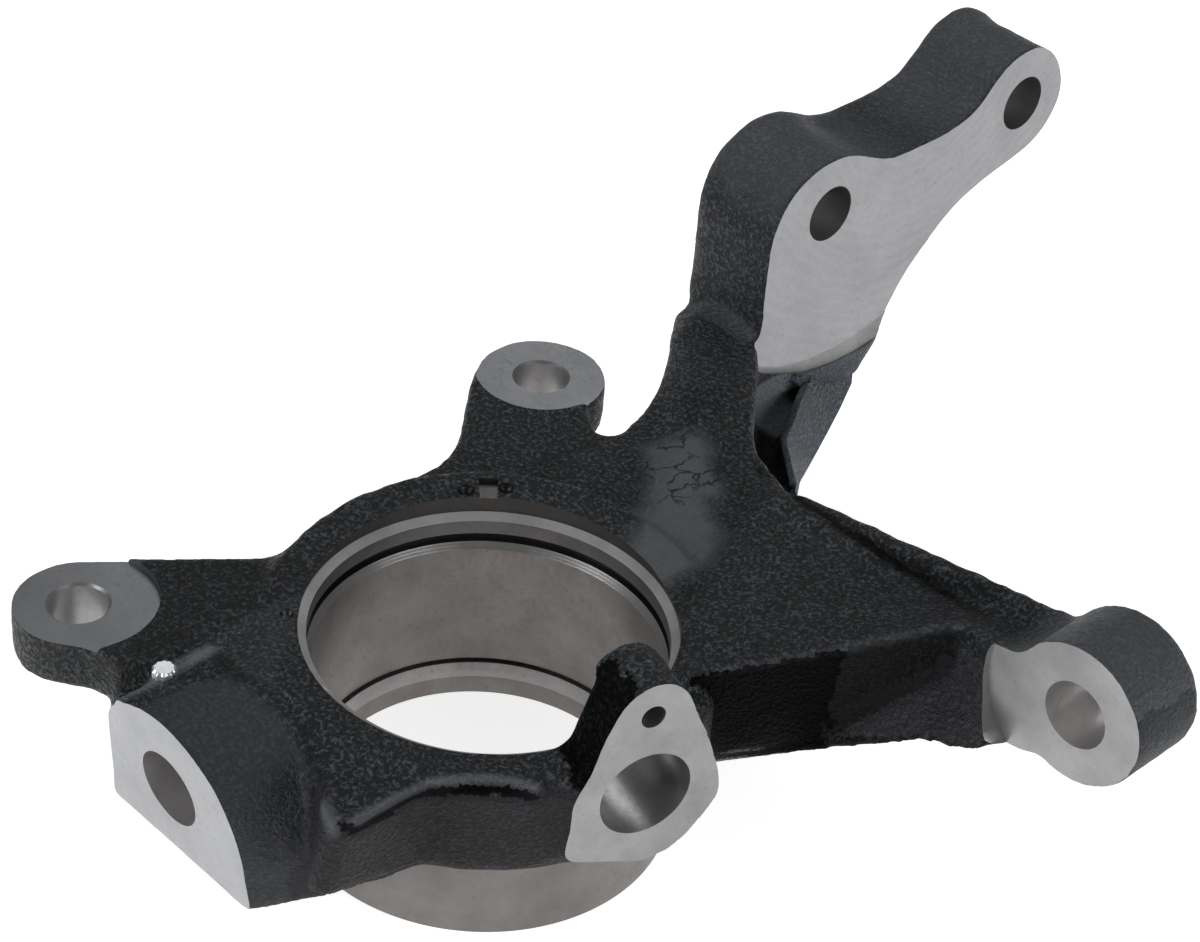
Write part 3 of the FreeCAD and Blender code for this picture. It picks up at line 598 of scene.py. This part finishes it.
def bare_metal(name, level, warm, centre, way, pitch, depth=0.02, rough=(0.3, 0.45), contrast=0.15,
               streak=0.0):
    """Bare cut iron: rings about an axis, each a trace of the cutter, over faint blotches.

    A streak above 0 adds broad bands of light and dark along the cutter's way.
    """
    made, tree, shader, place = material(name)
    turn = Vector(way).to_track_quat("Z", "Y")
    mapping = tree.nodes.new("ShaderNodeMapping")
    mapping.vector_type = "TEXTURE"
    mapping.inputs["Location"].default_value = [c * MM for c in centre]
    mapping.inputs["Rotation"].default_value = turn.to_euler()
    tree.links.new(place, mapping.inputs["Vector"])
    rings = ring_wave(tree, mapping.outputs["Vector"], pitch, 0.6, 1.0, 2.0)
    blot = noise(tree, place, 90, 4)
    speck = noise(tree, place, 900, 3, 0.7)
    low = grey(level * (1 - contrast), warm)
    high = grey(level * (1 + contrast), warm)
    tone = ramp(tree, blot, [(0.32, low), (0.68, high)])
    if streak:
        sweep = ring_wave(tree, mapping.outputs["Vector"], 3.1, 9.0, 5.0, 0.7)
        share = span(tree, sweep, 0.2, 0.9, 0, streak)
        tone = blend(tree, share, tone, grey(level * 1.8, warm))
    dots = span(tree, speck, 0.6, 0.7, 0, 0.35)
    tree.links.new(blend(tree, dots, tone, grey(level * 0.55, warm)), shader.inputs["Base Color"])
    shader.inputs["Metallic"].default_value = 0.75
    tree.links.new(span(tree, speck, 0.3, 0.7, *rough), shader.inputs["Roughness"])
    bump(tree, shader, [(rings, depth), (speck, 0.01)])
    return made


PAINT = cast_paint("black_paint_on_casting", 0.30, 0.0045, 0.14, 0.36)
# Darker, less glossy copies of the paint that stand for painted shade: in nooks, in half shade and on the
# skirt's side wall
PAINTED_SHADE = cast_paint("black_paint_with_painted_nook_shade", 0.02, 0.0015, 0.02, 0.05)
PAINTED_HALF_SHADE = cast_paint("black_paint_with_painted_half_shade", 0.2, 0.003, 0.06, 0.16)
SKIRT_PAINTED_SHADE = cast_paint("black_paint_with_painted_skirt_shade", 0.3, 0.0045, 0.12, 0.22)
FLANK = cast_paint("bare_grey_flank", 0.17, 0.13, 0.23, 0.3)
# Bare metal: name, lightness, warmth, a place and direction of the cutter's axis, and its pitch
TURNED = ((0, 0, 0), (0, 0, 1))
STRUT_METAL = bare_metal("milled_strut_face", 0.325, -0.008, (STRUT_FACE, 168, 62), (1, 0, 0), 1.2,
                         depth=0.012, contrast=0.07, streak=0.05)
BAND_METAL = bare_metal("strut_corner_band", 0.30, 0.0, (STRUT_FACE, 172, 35), (1, 0, 0), 1.2,
                        depth=0.01, rough=(0.45, 0.6))
ARM_METAL = bare_metal("milled_arm_face", 0.36, 0.0, ARM, (0, 1, 0), 0.6, depth=0.01)
BALL_METAL = bare_metal("milled_ball_joint_face", 0.44, -0.01, BALL, BALL_IN, 0.7,
                        depth=0.006, contrast=0.08)
LUG_METAL = bare_metal("milled_sensor_face", 0.31, 0.0, SENSOR, LUG_OUT, 0.6, depth=0.01)
EAR_METALS = [bare_metal("spotface_%s" % word, level, -0.02, (ear[0], ear[1], EAR_FACE), (0, 0, 1), 0.5,
                         depth=0.004, contrast=0.08)
              for word, ear, level in zip(("one", "two"), EARS, (0.185, 0.165))]
BORE_METAL = bare_metal("turned_bore", 0.20, 0.06, *TURNED, 0.5, depth=0.008)
SPIGOT_METAL = bare_metal("turned_spigot", 0.19, 0.05, *TURNED, 0.5, depth=0.008)
LAND_METAL = bare_metal("turned_land", 0.13, 0.05, *TURNED, 0.5, depth=0.008)
# Turned iron with painted light: a painted highlight on the lead-in, painted shade on the counterbore wall
# and in the ring groove
RING_METAL = bare_metal("turned_lead_in_painted_highlight", 0.72, 0.02, *TURNED, 0.4, depth=0.008)
COUNTER_METAL = bare_metal("counterbore_wall_painted_shade", 0.06, 0.06, *TURNED, 0.5, depth=0.01)
GROOVE_METAL = bare_metal("ring_groove_painted_shade", 0.05, 0.0, *TURNED, 0.5)
HOLE_METAL = bare_metal("drilled_hole", 0.34, 0.02, *TURNED, 0.5, depth=0.01)
TAPER_METAL = bare_metal("reamed_taper", 0.62, 0.02, *TURNED, 0.5, depth=0.01)
STUB_METAL = bare_metal("bare_stub", 0.72, 0.0, *TURNED, 0.5, depth=0.01)

# Cuts, each crisp: the same planes, cylinders and cones as in the source
casting.data.materials.clear()
casting.data.materials.append(PAINT)


def cut(parts, metal, name, operation="DIFFERENCE"):
    """Cut a closed surface out of the casting, or join it on; its faces bring their own material."""
    tool = mesh_piece(name, *parts)
    tool.data.materials.append(metal)
    step = casting.modifiers.new("cut", "BOOLEAN")
    step.operation = operation
    step.solver = "MANIFOLD"
    step.object = tool
    step.material_mode = "TRANSFER"
    settle(casting)
    bpy.data.objects.remove(tool)


# Lower edge of the strut face at five heights over it: the flat's edge, the corner's hollow in
# two rows, and its lip, which the cutter clears far above
STRUT_EDGES = (
    (-0.14, [(115.6, 3.0), (116.2, -2.0), (118.6, -4.3), (126, -7.2), (133, -8.6),
             (139, -9.3), (145, -9.4), (152, -8.7), (158, -7.6), (164, -6.0)]),
    (0.08, [(115.5, 2.6), (116.1, -2.5), (118.5, -4.9), (126, -7.8), (133, -9.2),
            (139, -9.9), (145, -10.0), (152, -9.3), (158, -8.2), (164, -6.6)]),
    (0.25, [(115.2, 2.6), (115.8, -3.0), (118.4, -5.2), (126, -8.3), (133, -10.7),
            (139, -11.6), (145, -12.0), (152, -11.6), (158, -10.8), (165, -9.5)]),
    (1.0, [(114.8, 2.4), (115.4, -3.6), (118.2, -5.9), (126, -9.1), (133, -11.6),
           (139, -12.7), (145, -13.3), (152, -13.2), (158, -12.5), (166, -11.5)]),
    (12.0, [(114.6, 2.2), (115.2, -4.0), (118.0, -6.2), (126, -9.5), (133, -12.0),
            (139, -13.1), (145, -13.7), (152, -13.7), (158, -13.0), (167, -12.0)]))
# Lower edge of the cutter's second, shallower pass
STRUT_PASS = [(115.5, 12), (117, 9.5), (124, 7.6), (130.5, 5.7), (138, 3.9), (145, 3.1), (151, 3.1),
              (156, 3.6), (163, 4.9), (175, 8.5)]


def face_loops(edges, base):
    """Loops of the strut face's cutter: an edge at each height, closed far above the flange."""
    far = [(240, edges[0][1][-1][1]), (240, 72), (107, 72), (107, 12), (114.5, 9)]
    return [np.array([(base + height, y, z) for y, z in edge + far]) for height, edge in edges]


EAR_HOLE_PROFILE = [(0, -30), (EAR_HOLE, -30), (EAR_HOLE, EAR_FACE - EAR_CHAMFER),
                    (EAR_HOLE + EAR_CHAMFER, EAR_FACE), (EAR_HOLE + EAR_CHAMFER, 5), (0, 5)]

# Rib's outer flank, crisp: near edge at its top, foot at the beam's underside, one section after another
FLANK_TOP = np.array([(-38.6, 141.7), (-37.0, 139.0), (-34.2, 134.2), (-29.6, 126.3), (-24.4, 118.1),
                      (-20.0, 110.7), (-13.9, 105.7), (-6.8, 100.2)])
FLANK_FOOT = np.array([(-38.6, 155.4), (-37.0, 153.6), (-34.5, 150.6), (-28.9, 140.4), (-23.7, 130.2),
                       (-18.7, 120.1), (-14.0, 110.4), (-6.6, 100.6)])
FLANK_HIGH = -13.0
FLANK_LOW = -21.5
FLANK_OUT = np.array((0.87, 0.49))
flank_proud = FLANK_OUT * 0.25
flank_deep = FLANK_OUT * 1.3
flank_loops = [np.array([(*(foot + flank_proud), FLANK_LOW), (*(top + flank_proud), FLANK_HIGH),
                         (*(top - flank_deep), FLANK_HIGH), (*(top - flank_deep), FLANK_LOW)])
               for top, foot in zip(FLANK_TOP, FLANK_FOOT)]
cut(loft(flank_loops), FLANK, "rib_flank", "UNION")

# Bare stub with ribs on its side
ribs, stub_faces = turned([(0, -8), (2.4, -8), (2.4, -2.1), (2.0, -1.6), (0, -1.6)], 80)
ribs = np.array(ribs)
ribs[:, :2] *= (1 + 0.06 * np.cos(10 * np.arctan2(ribs[:, 1], ribs[:, 0])))[:, None]
cut((ribs + (*STUB, 0), stub_faces), STUB_METAL, "stub", "UNION")

cut(loft(face_loops(STRUT_EDGES, STRUT_FACE)), STRUT_METAL, "strut_face")
pass_floor = [(y, z + 1.0) for y, z in STRUT_PASS]
pass_edges = [(-0.32, pass_floor), (0.02, STRUT_PASS), (6.0, STRUT_PASS)]
cut(loft(face_loops(pass_edges, STRUT_FACE)), STRUT_METAL, "strut_pass")
cut(cone(ARM, (0, -1, 0), 30, ARM_CUTTER, ARM_CUTTER, 0, 160), ARM_METAL, "arm_facing")
cut(prism(box_outline(-23.5, 24.5, -20, 20.5), BALL, (1, 0, 0), BALL_RISE, -BALL_IN, 12),
    BALL_METAL, "ball_face")
cut(prism(box_outline(-20, 22, -22, 32), SENSOR, LUG_SIDE, UP, LUG_OUT, 12), LUG_METAL, "lug_face")
for number, (ear_x, ear_y, cutter) in enumerate(EARS):
    cut(cone((ear_x, ear_y, EAR_FACE), UP, 20, cutter, cutter, 0, 160), EAR_METALS[number], "spotface")
    hole_points, hole_faces = turned(EAR_HOLE_PROFILE, 128)
    cut((hole_points + (ear_x, ear_y, 0), hole_faces), HOLE_METAL, "ear_hole")
for hole_y, hole_z in STRUT_HOLES:
    cut(cone((STRUT_BACK - 5, hole_y, hole_z), (1, 0, 0), 40, STRUT_HOLE, STRUT_HOLE, 0, 128),
        HOLE_METAL, "strut_hole")
cut(cone(ARM, (0, 1, 0), 22, *ARM_TAPER, 0, 128), TAPER_METAL, "arm_taper")
cut(cone(BALL, BALL_IN, 28, *BALL_TAPER, -1, 128), TAPER_METAL, "ball_taper")
cut(cone(SENSOR, -LUG_OUT, 24, SENSOR_HOLE, SENSOR_HOLE, -1, 128), HOLE_METAL, "sensor_hole")
cut(cone(SCREW, -LUG_OUT, 12, SCREW_HOLE, SCREW_HOLE, -1, 64), HOLE_METAL, "screw_hole")
cut(turned([(0, -60), (52, -60), (52, -37.5), (SPIGOT, -37.5), (SPIGOT, -46.2), (40.1, SPIGOT_END),
            (0, SPIGOT_END)], 256), SPIGOT_METAL, "spigot_end")
for start, stop in SPIGOT_CLEAR:
    cut(ring_sector(SPIGOT, 47.5, -39.0, SKIRT, start - 8, stop + 6, 2 * (stop - start)),
        SPIGOT_METAL, "spigot_side")

# Pits beside the small tab on the rim's back, and a nook in the rim: place, width and depth. The pits take
# the ring groove's painted shade, the tab the counterbore wall's
PITS = (((-34.0, 23.2, 4.2), 1.9, 2.2), ((-29.2, 30.3, 4.2), 1.8, 2.2), ((-28.7, -29.7, 0.3), 1.6, 1.6))
for pit, wide, deep in PITS:
    hollow = [(0, -deep), (wide * 0.6, -deep * 0.8), (wide * 0.95, -deep * 0.3), (wide, 0),
              (wide * 0.8, 3), (0, 3)]
    pit_points, pit_faces = turned(hollow, 24)
    cut((pit_points + pit, pit_faces), GROOVE_METAL, "pit")
cut(ring_sector(37.6, 44.6, 3.5, 12.0, 136.2, 141.8, 8), COUNTER_METAL, "tab")

# The bore: throat, shoulder, undercut, seat, ring groove, land, lead-in and the rim's counterbore
BORE = [(0, -52), (34.4, -52), (34.4, -42.4), (35.3, -39.1), (36.5, -39.1), (36.5, -38.4), (36, -38.4),
        (36, -8), (37.25, -6.7), (38.75, -6.7), (38.75, -4.6), (37.25, -4.6), (37.25, -1.3), (39, 0),
        (39, 16), (0, 16)]
cut(turned(BORE, 256), BORE_METAL, "bore")

count = len(casting.data.polygons)
centre = np.empty(count * 3)
casting.data.polygons.foreach_get("center", centre)
centre = centre.reshape(-1, 3) / MM
slot_of = np.empty(count, np.int32)
casting.data.polygons.foreach_get("material_index", slot_of)
names = [m.name for m in casting.data.materials]
in_bore = slot_of == names.index(BORE_METAL.name)


def slot_number(metal):
    """Number of this material's slot in the casting, where it is added if it is missing."""
    if metal.name not in names:
        casting.data.materials.append(metal)
        names.append(metal.name)
    return names.index(metal.name)


# Zones of the bore by height: the lead-in with a painted highlight, the counterbore wall and the ring
# groove with painted shade
ZONES = ((COUNTER_METAL, 0.05, 30), (RING_METAL, -1.31, 0.05), (LAND_METAL, -4.55, -1.31),
         (GROOVE_METAL, -6.71, -4.55), (HOLE_METAL, -8.01, -6.72), (LAND_METAL, -39.09, -38.3),
         (HOLE_METAL, -42.5, -39.09))
for metal, low, high in ZONES:
    slot_of[in_bore & (centre[:, 2] > low) & (centre[:, 2] < high)] = slot_number(metal)
corner = np.array(STRUT_EDGES[1][1])
lip = np.interp(centre[:, 1], corner[:, 0], corner[:, 1])
slot_of[(slot_of == slot_number(STRUT_METAL)) & (centre[:, 2] < lip)] = slot_number(BAND_METAL)
casting.data.polygons.foreach_set("use_smooth", np.ones(count, bool))
casting.data.set_sharp_from_angle(angle=math.radians(34))

# Directions in which the rib's flank and the arm's front wall look
FLANK_WAY = (0.76, 0.43, 0.48)
WALL_WAY = (0.85, -0.53, 0.0)

# Look of the paint over the casting: lightness, grain, purple, darkness. The lightness and darkness are
# mostly painted light and painted shade, the purple grey a painted reflection of the floor
spots = coords(casting)
out = normals(casting)
x, y, z = spots.T
radius = np.hypot(x, y)
wobble = 1.5 * lattice_noise(spots, 5.0, 11)
light = np.zeros(len(spots))
grain_share = np.ones(len(spots))
purple_share = np.zeros(len(spots))
dark_share = np.zeros(len(spots))
painted_highlight_line = np.zeros(len(spots))
# Painted highlights along the ridges and crests, painted shade along the folds, creases and grooves
for path, reach, _, painted_highlight, darker in LINES:
    near_line = along_path(spots, path, reach)
    light = np.maximum(light, painted_highlight * near_line)
    dark_share = np.maximum(dark_share, darker * near_line)
    painted_highlight_line = np.maximum(painted_highlight_line, near_line * (painted_highlight > 0))

# Smooth ground patch on the swell
PATCH = ((-26, 68), (-21, 81), (-10, 76), (13, 53), (14, 43), (17, 26), (5, 32), (-8, 50))
patch = within(spots + wobble[:, None], PATCH, 5.0) * (out[:, 2] > 0.5)
light = np.maximum(light, 0.25 * patch)
grain_share *= 1 - 0.85 * patch

# Side wall of the skirt, smoother, in a purple grey that paints the pale floor's reflection, and a little
# darker with painted shade
side = np.clip((0.75 - abs(out[:, 2])) / 0.3, 0, 1)
skirt_wall = side * (radius < 72) * np.clip((x - 6) / 8, 0, 1) * np.clip((10 - y) / 6, 0, 1) * (z < -1.5)
purple_share = np.maximum(purple_share, 0.75 * skirt_wall)
dark_share = np.maximum(dark_share, 0.25 * skirt_wall)
grain_share *= 1 - 0.5 * skirt_wall

# Lower flank of the arm: painted light, in a purple grey that paints the pale floor's reflection
arm_low = ((x > 44) & (x < 92) & (y > 15) & (y < 75) & (z < 8) & (out[:, 2] > 0.1) & (out[:, 2] < 0.85)
           & (out[:, 1] < -0.3))
light = np.maximum(light, 0.17 * arm_low)
purple_share = np.maximum(purple_share, 0.8 * arm_low)

# Flank of the ball joint boss, the paler crown beside it and the darker ear
BOSS_FLANK = ((-27, -75), (26, -75), (19, -61), (15.7, -58.0), (10, -54.0), (3.4, -50.8), (-4.7, -49.4),
              (-13.5, -49.4), (-20, -50), (-24, -56))
ball_flank = within(spots, BOSS_FLANK, 2.0) * (z < 0)
grain_share *= 1 - 0.7 * ball_flank
light = np.maximum(light, 0.10 * ball_flank)
CROWN_PALE = ((-31, -20), (-34.5, -36.2), (-33.5, -47), (-31, -53), (-27, -48), (-12, -47), (-17, -38),
              (-26, -30))
crown_pale = within(spots + wobble[:, None], CROWN_PALE, 3.0) * (z > -3)
light = np.maximum(light, 0.09 * crown_pale)
EAR_DARK = ((-33, -18), (-37, -36), (-36, -48), (-35, -60), (-48, -64), (-66, -40), (-58, -20))
ear_dark = within(spots, EAR_DARK, 2.5)
dark_share = np.maximum(dark_share, 0.35 * ear_dark * (z > -2.5))

# Round wall of the arm's boss
boss_gap = np.hypot(x - ARM[0], z - ARM[2])
arm_boss = np.clip((24 - boss_gap) / 6, 0, 1) * (y > 60)
light = np.maximum(light, 0.24 * arm_boss)
grain_share *= 1 - 0.55 * arm_boss

# Painted light on the upward faces of the strut flange, less at its waist, which stays darker
flange_top = (y > 112) * np.clip((out[:, 2] - 0.2) / 0.3, 0, 1) * (x < -37.5)
waist = np.clip(1 - abs(y - 168) / 18, 0, 1)
light = np.maximum(light, 0.24 * flange_top * (1 - 0.75 * waist))
grain_share *= 1 - 0.4 * flange_top

# Painted light in the recess under the strut face, and painted shade in the trough behind the rib
recess = ((x > -39) * (x < -26) * np.clip((y - 113.5) / 2, 0, 1) * np.clip((129 - y) / 2, 0, 1)
          * (z < -8.5) * (z > -21))
light = np.maximum(light, recess)
trough = ((x > -37) * (x < -8) * (y > 100) * (y < 140) * (z < -12) * (z > -21.5) * (1 - recess)
          * (out @ FLANK_WAY < 0.75))
dark_share = np.maximum(dark_share, 0.8 * trough)

# Cracks in the paint of the patch
MARKED = ((-25, 68), (-20, 79), (-8, 77), (0, 69), (-7, 57), (-14, 54), (-22, 60))
marks = casting.data.attributes.new("marks", "FLOAT", "POINT")
marks.data.foreach_set("value", (within(spots, MARKED, 3.0) * (out[:, 2] > 0.5)).astype(np.float32))

# Column, the least lightness of all, and painted shade on the arm's front wall
column = (y > 92) * (x < -30) * (z > -8)
light = np.maximum(light, 0.07 * column)
light = np.maximum(light, 0.012)
dark_share *= 1 - np.clip(1.6 * painted_highlight_line, 0, 1)
arm_wall = (out @ WALL_WAY > 0.6) * (x > 40) * (y > 8) * (abs(out[:, 2]) < 0.5)
arm_wall_painted_shade = np.clip((72 - y) / 34, 0, 1) * (1 - np.clip(2 * painted_highlight_line, 0, 1))
dark_share = np.maximum(dark_share, arm_wall * arm_wall_painted_shade)
look = np.column_stack([light, grain_share, purple_share, np.clip(dark_share, 0, 1)])
kept = casting.data.attributes.new("look", "FLOAT_COLOR", "POINT")
kept.data.foreach_set("color", np.clip(look, 0, 1).astype(np.float32).ravel())

# Painted shade, as darker and less glossy copies of the paint: on the arm's front wall beside the lug and
# on the lug's left flank, nooks that no light reaches, and in half shade on the rest of that wall
flat = np.empty(count * 3)
casting.data.polygons.foreach_get("normal", flat)
facing = flat.reshape(-1, 3)
painted = slot_of == slot_number(PAINT)
wall = (painted & (facing @ WALL_WAY > 0.72) & (centre[:, 0] > 40) & (centre[:, 1] > 8)
        & (abs(facing[:, 2]) < 0.45))
edge_of_shade = 43 + 4 * lattice_noise(centre, 6.0, 21) + 3 * lattice_noise(centre, 2.2, 22)
lug_place = centre @ LUG_SIDE
lug_side = (painted & (facing @ LUG_SIDE < -0.5) & (centre @ LUG_OUT > 38) & (lug_place > -14)
            & (lug_place < 8) & (centre[:, 2] > -3))
slot_of[(wall & (centre[:, 1] < edge_of_shade)) | lug_side] = slot_number(PAINTED_SHADE)
slot_of[wall & (centre[:, 1] >= edge_of_shade)] = slot_number(PAINTED_HALF_SHADE)
flank_more = (painted & (facing @ FLANK_WAY > 0.55) & (centre[:, 0] > -39.5) & (centre[:, 0] < -30)
              & (centre[:, 1] > 129) & (centre[:, 1] < 162) & (centre[:, 2] < -11.5))
slot_of[flank_more] = slot_number(FLANK)
# Painted shade on the skirt's side wall: a less glossy copy of the paint
rough_line = 3 * lattice_noise(centre, 3.0, 23)
skirt = (painted & (abs(facing[:, 2]) < 0.6) & (np.hypot(centre[:, 0], centre[:, 1]) < 72)
         & (centre[:, 2] < -1.5) & (centre[:, 0] > 9 + rough_line) & (centre[:, 1] < 8 + rough_line))
slot_of[skirt] = slot_number(SKIRT_PAINTED_SHADE)
# Painted shade along the line under the crown's ridge and in the corner pit, and painted half shade in the
# far groove
for path, reach, paint in ((CROWN_SHADE, 1.5, PAINTED_SHADE), (CORNER_PIT, 2.0, PAINTED_SHADE),
                           (FAR_GROOVE, 1.4, PAINTED_HALF_SHADE)):
    slot_of[painted & (along_path(centre, path, reach) > 0.4)] = slot_number(paint)
casting.data.polygons.foreach_set("material_index", slot_of)

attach(casting, "root")
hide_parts("knuckle")

# Floor
FLOOR = 3000
floor = mesh_piece("floor", [(x, y, SPIGOT_END) for x, y in box_outline(-FLOOR, FLOOR, -FLOOR, FLOOR)],
                   [(0, 1, 2, 3)])
floor_paint, _, shader, _ = material("pale_floor")
shader.inputs["Base Color"].default_value = (0.9, 0.9, 0.9, 1)
shader.inputs["Roughness"].default_value = 0.9
shader.inputs["Emission Color"].default_value = (1, 1, 1, 1)
shader.inputs["Emission Strength"].default_value = 0.8
floor.data.materials.append(floor_paint)
floor.visible_diffuse = False

# Pale backdrop round the studio, seen but lighting nothing
BACKDROP = 2900
under_floor = SPIGOT_END - 20
dome = [(BACKDROP * math.cos(a), SPIGOT_END + BACKDROP * math.sin(a))
        for a in np.linspace(0, math.pi / 2, 13)[1:]]
backdrop = mesh_piece("backdrop", *turned([(0, under_floor), (BACKDROP, under_floor)] + dome, 64))
backdrop_paint, _, shader, _ = material("pale_backdrop")
shader.inputs["Base Color"].default_value = (0, 0, 0, 1)
shader.inputs["Specular IOR Level"].default_value = 0
shader.inputs["Emission Color"].default_value = (1, 1, 1, 1)
shader.inputs["Emission Strength"].default_value = 1.0
backdrop.data.materials.append(backdrop_paint)
backdrop.visible_diffuse = False
backdrop.visible_glossy = False
backdrop.visible_transmission = False
backdrop.visible_shadow = False

# Camera, fitted to the photograph's edges
camera_data = bpy.data.cameras.new("camera")
camera_data.sensor_width = 36.0
camera_data.sensor_fit = "HORIZONTAL"
camera_data.lens = 2889.63 / 1200 * 36
camera_data.clip_end = 20
camera = bpy.data.objects.new("camera", camera_data)
right = Vector((0.68465184, 0.72520521, 0.07300181))
down = Vector((0.46895002, -0.36161102, -0.80580603))
ahead = Vector((-0.55797647, 0.58593078, -0.58766264))
camera.matrix_world = Matrix.Translation(Vector((329.161, -317.323, 373.327)) * MM) @ Matrix(
    (right, -down, -ahead)).transposed().to_4x4()
bpy.context.scene.collection.objects.link(camera)
bpy.context.scene.camera = camera

# Soft studio light
world = bpy.data.worlds.new("studio")
world.use_nodes = True
world.node_tree.nodes["Background"].inputs["Color"].default_value = (*STUDIO_TINT, 1)
world.node_tree.nodes["Background"].inputs["Strength"].default_value = 0.10
bpy.context.scene.world = world
bpy.context.scene.view_settings.view_transform = "Standard"


def soft_light(name, place, aim, size, power):
    """A square soft light at a place, turned to a spot (both in mm)."""
    data = bpy.data.lights.new(name, "AREA")
    data.size = size * MM
    data.energy = power
    data.color = STUDIO_TINT
    light = bpy.data.objects.new(name, data)
    spot = Vector(place) * MM
    turn = (Vector(aim) * MM - spot).to_track_quat("-Z", "Y")
    light.matrix_world = Matrix.Translation(spot) @ turn.to_matrix().to_4x4()
    bpy.context.scene.collection.objects.link(light)


soft_light("back_light", (-450, 650, 800), (0, 40, 0), 800, 3.5)
soft_light("left_light", (-250, -900, 350), (0, 30, 0), 500, 4.0)
soft_light("right_light", (950, 150, 350), (0, 50, 0), 500, 4.0)
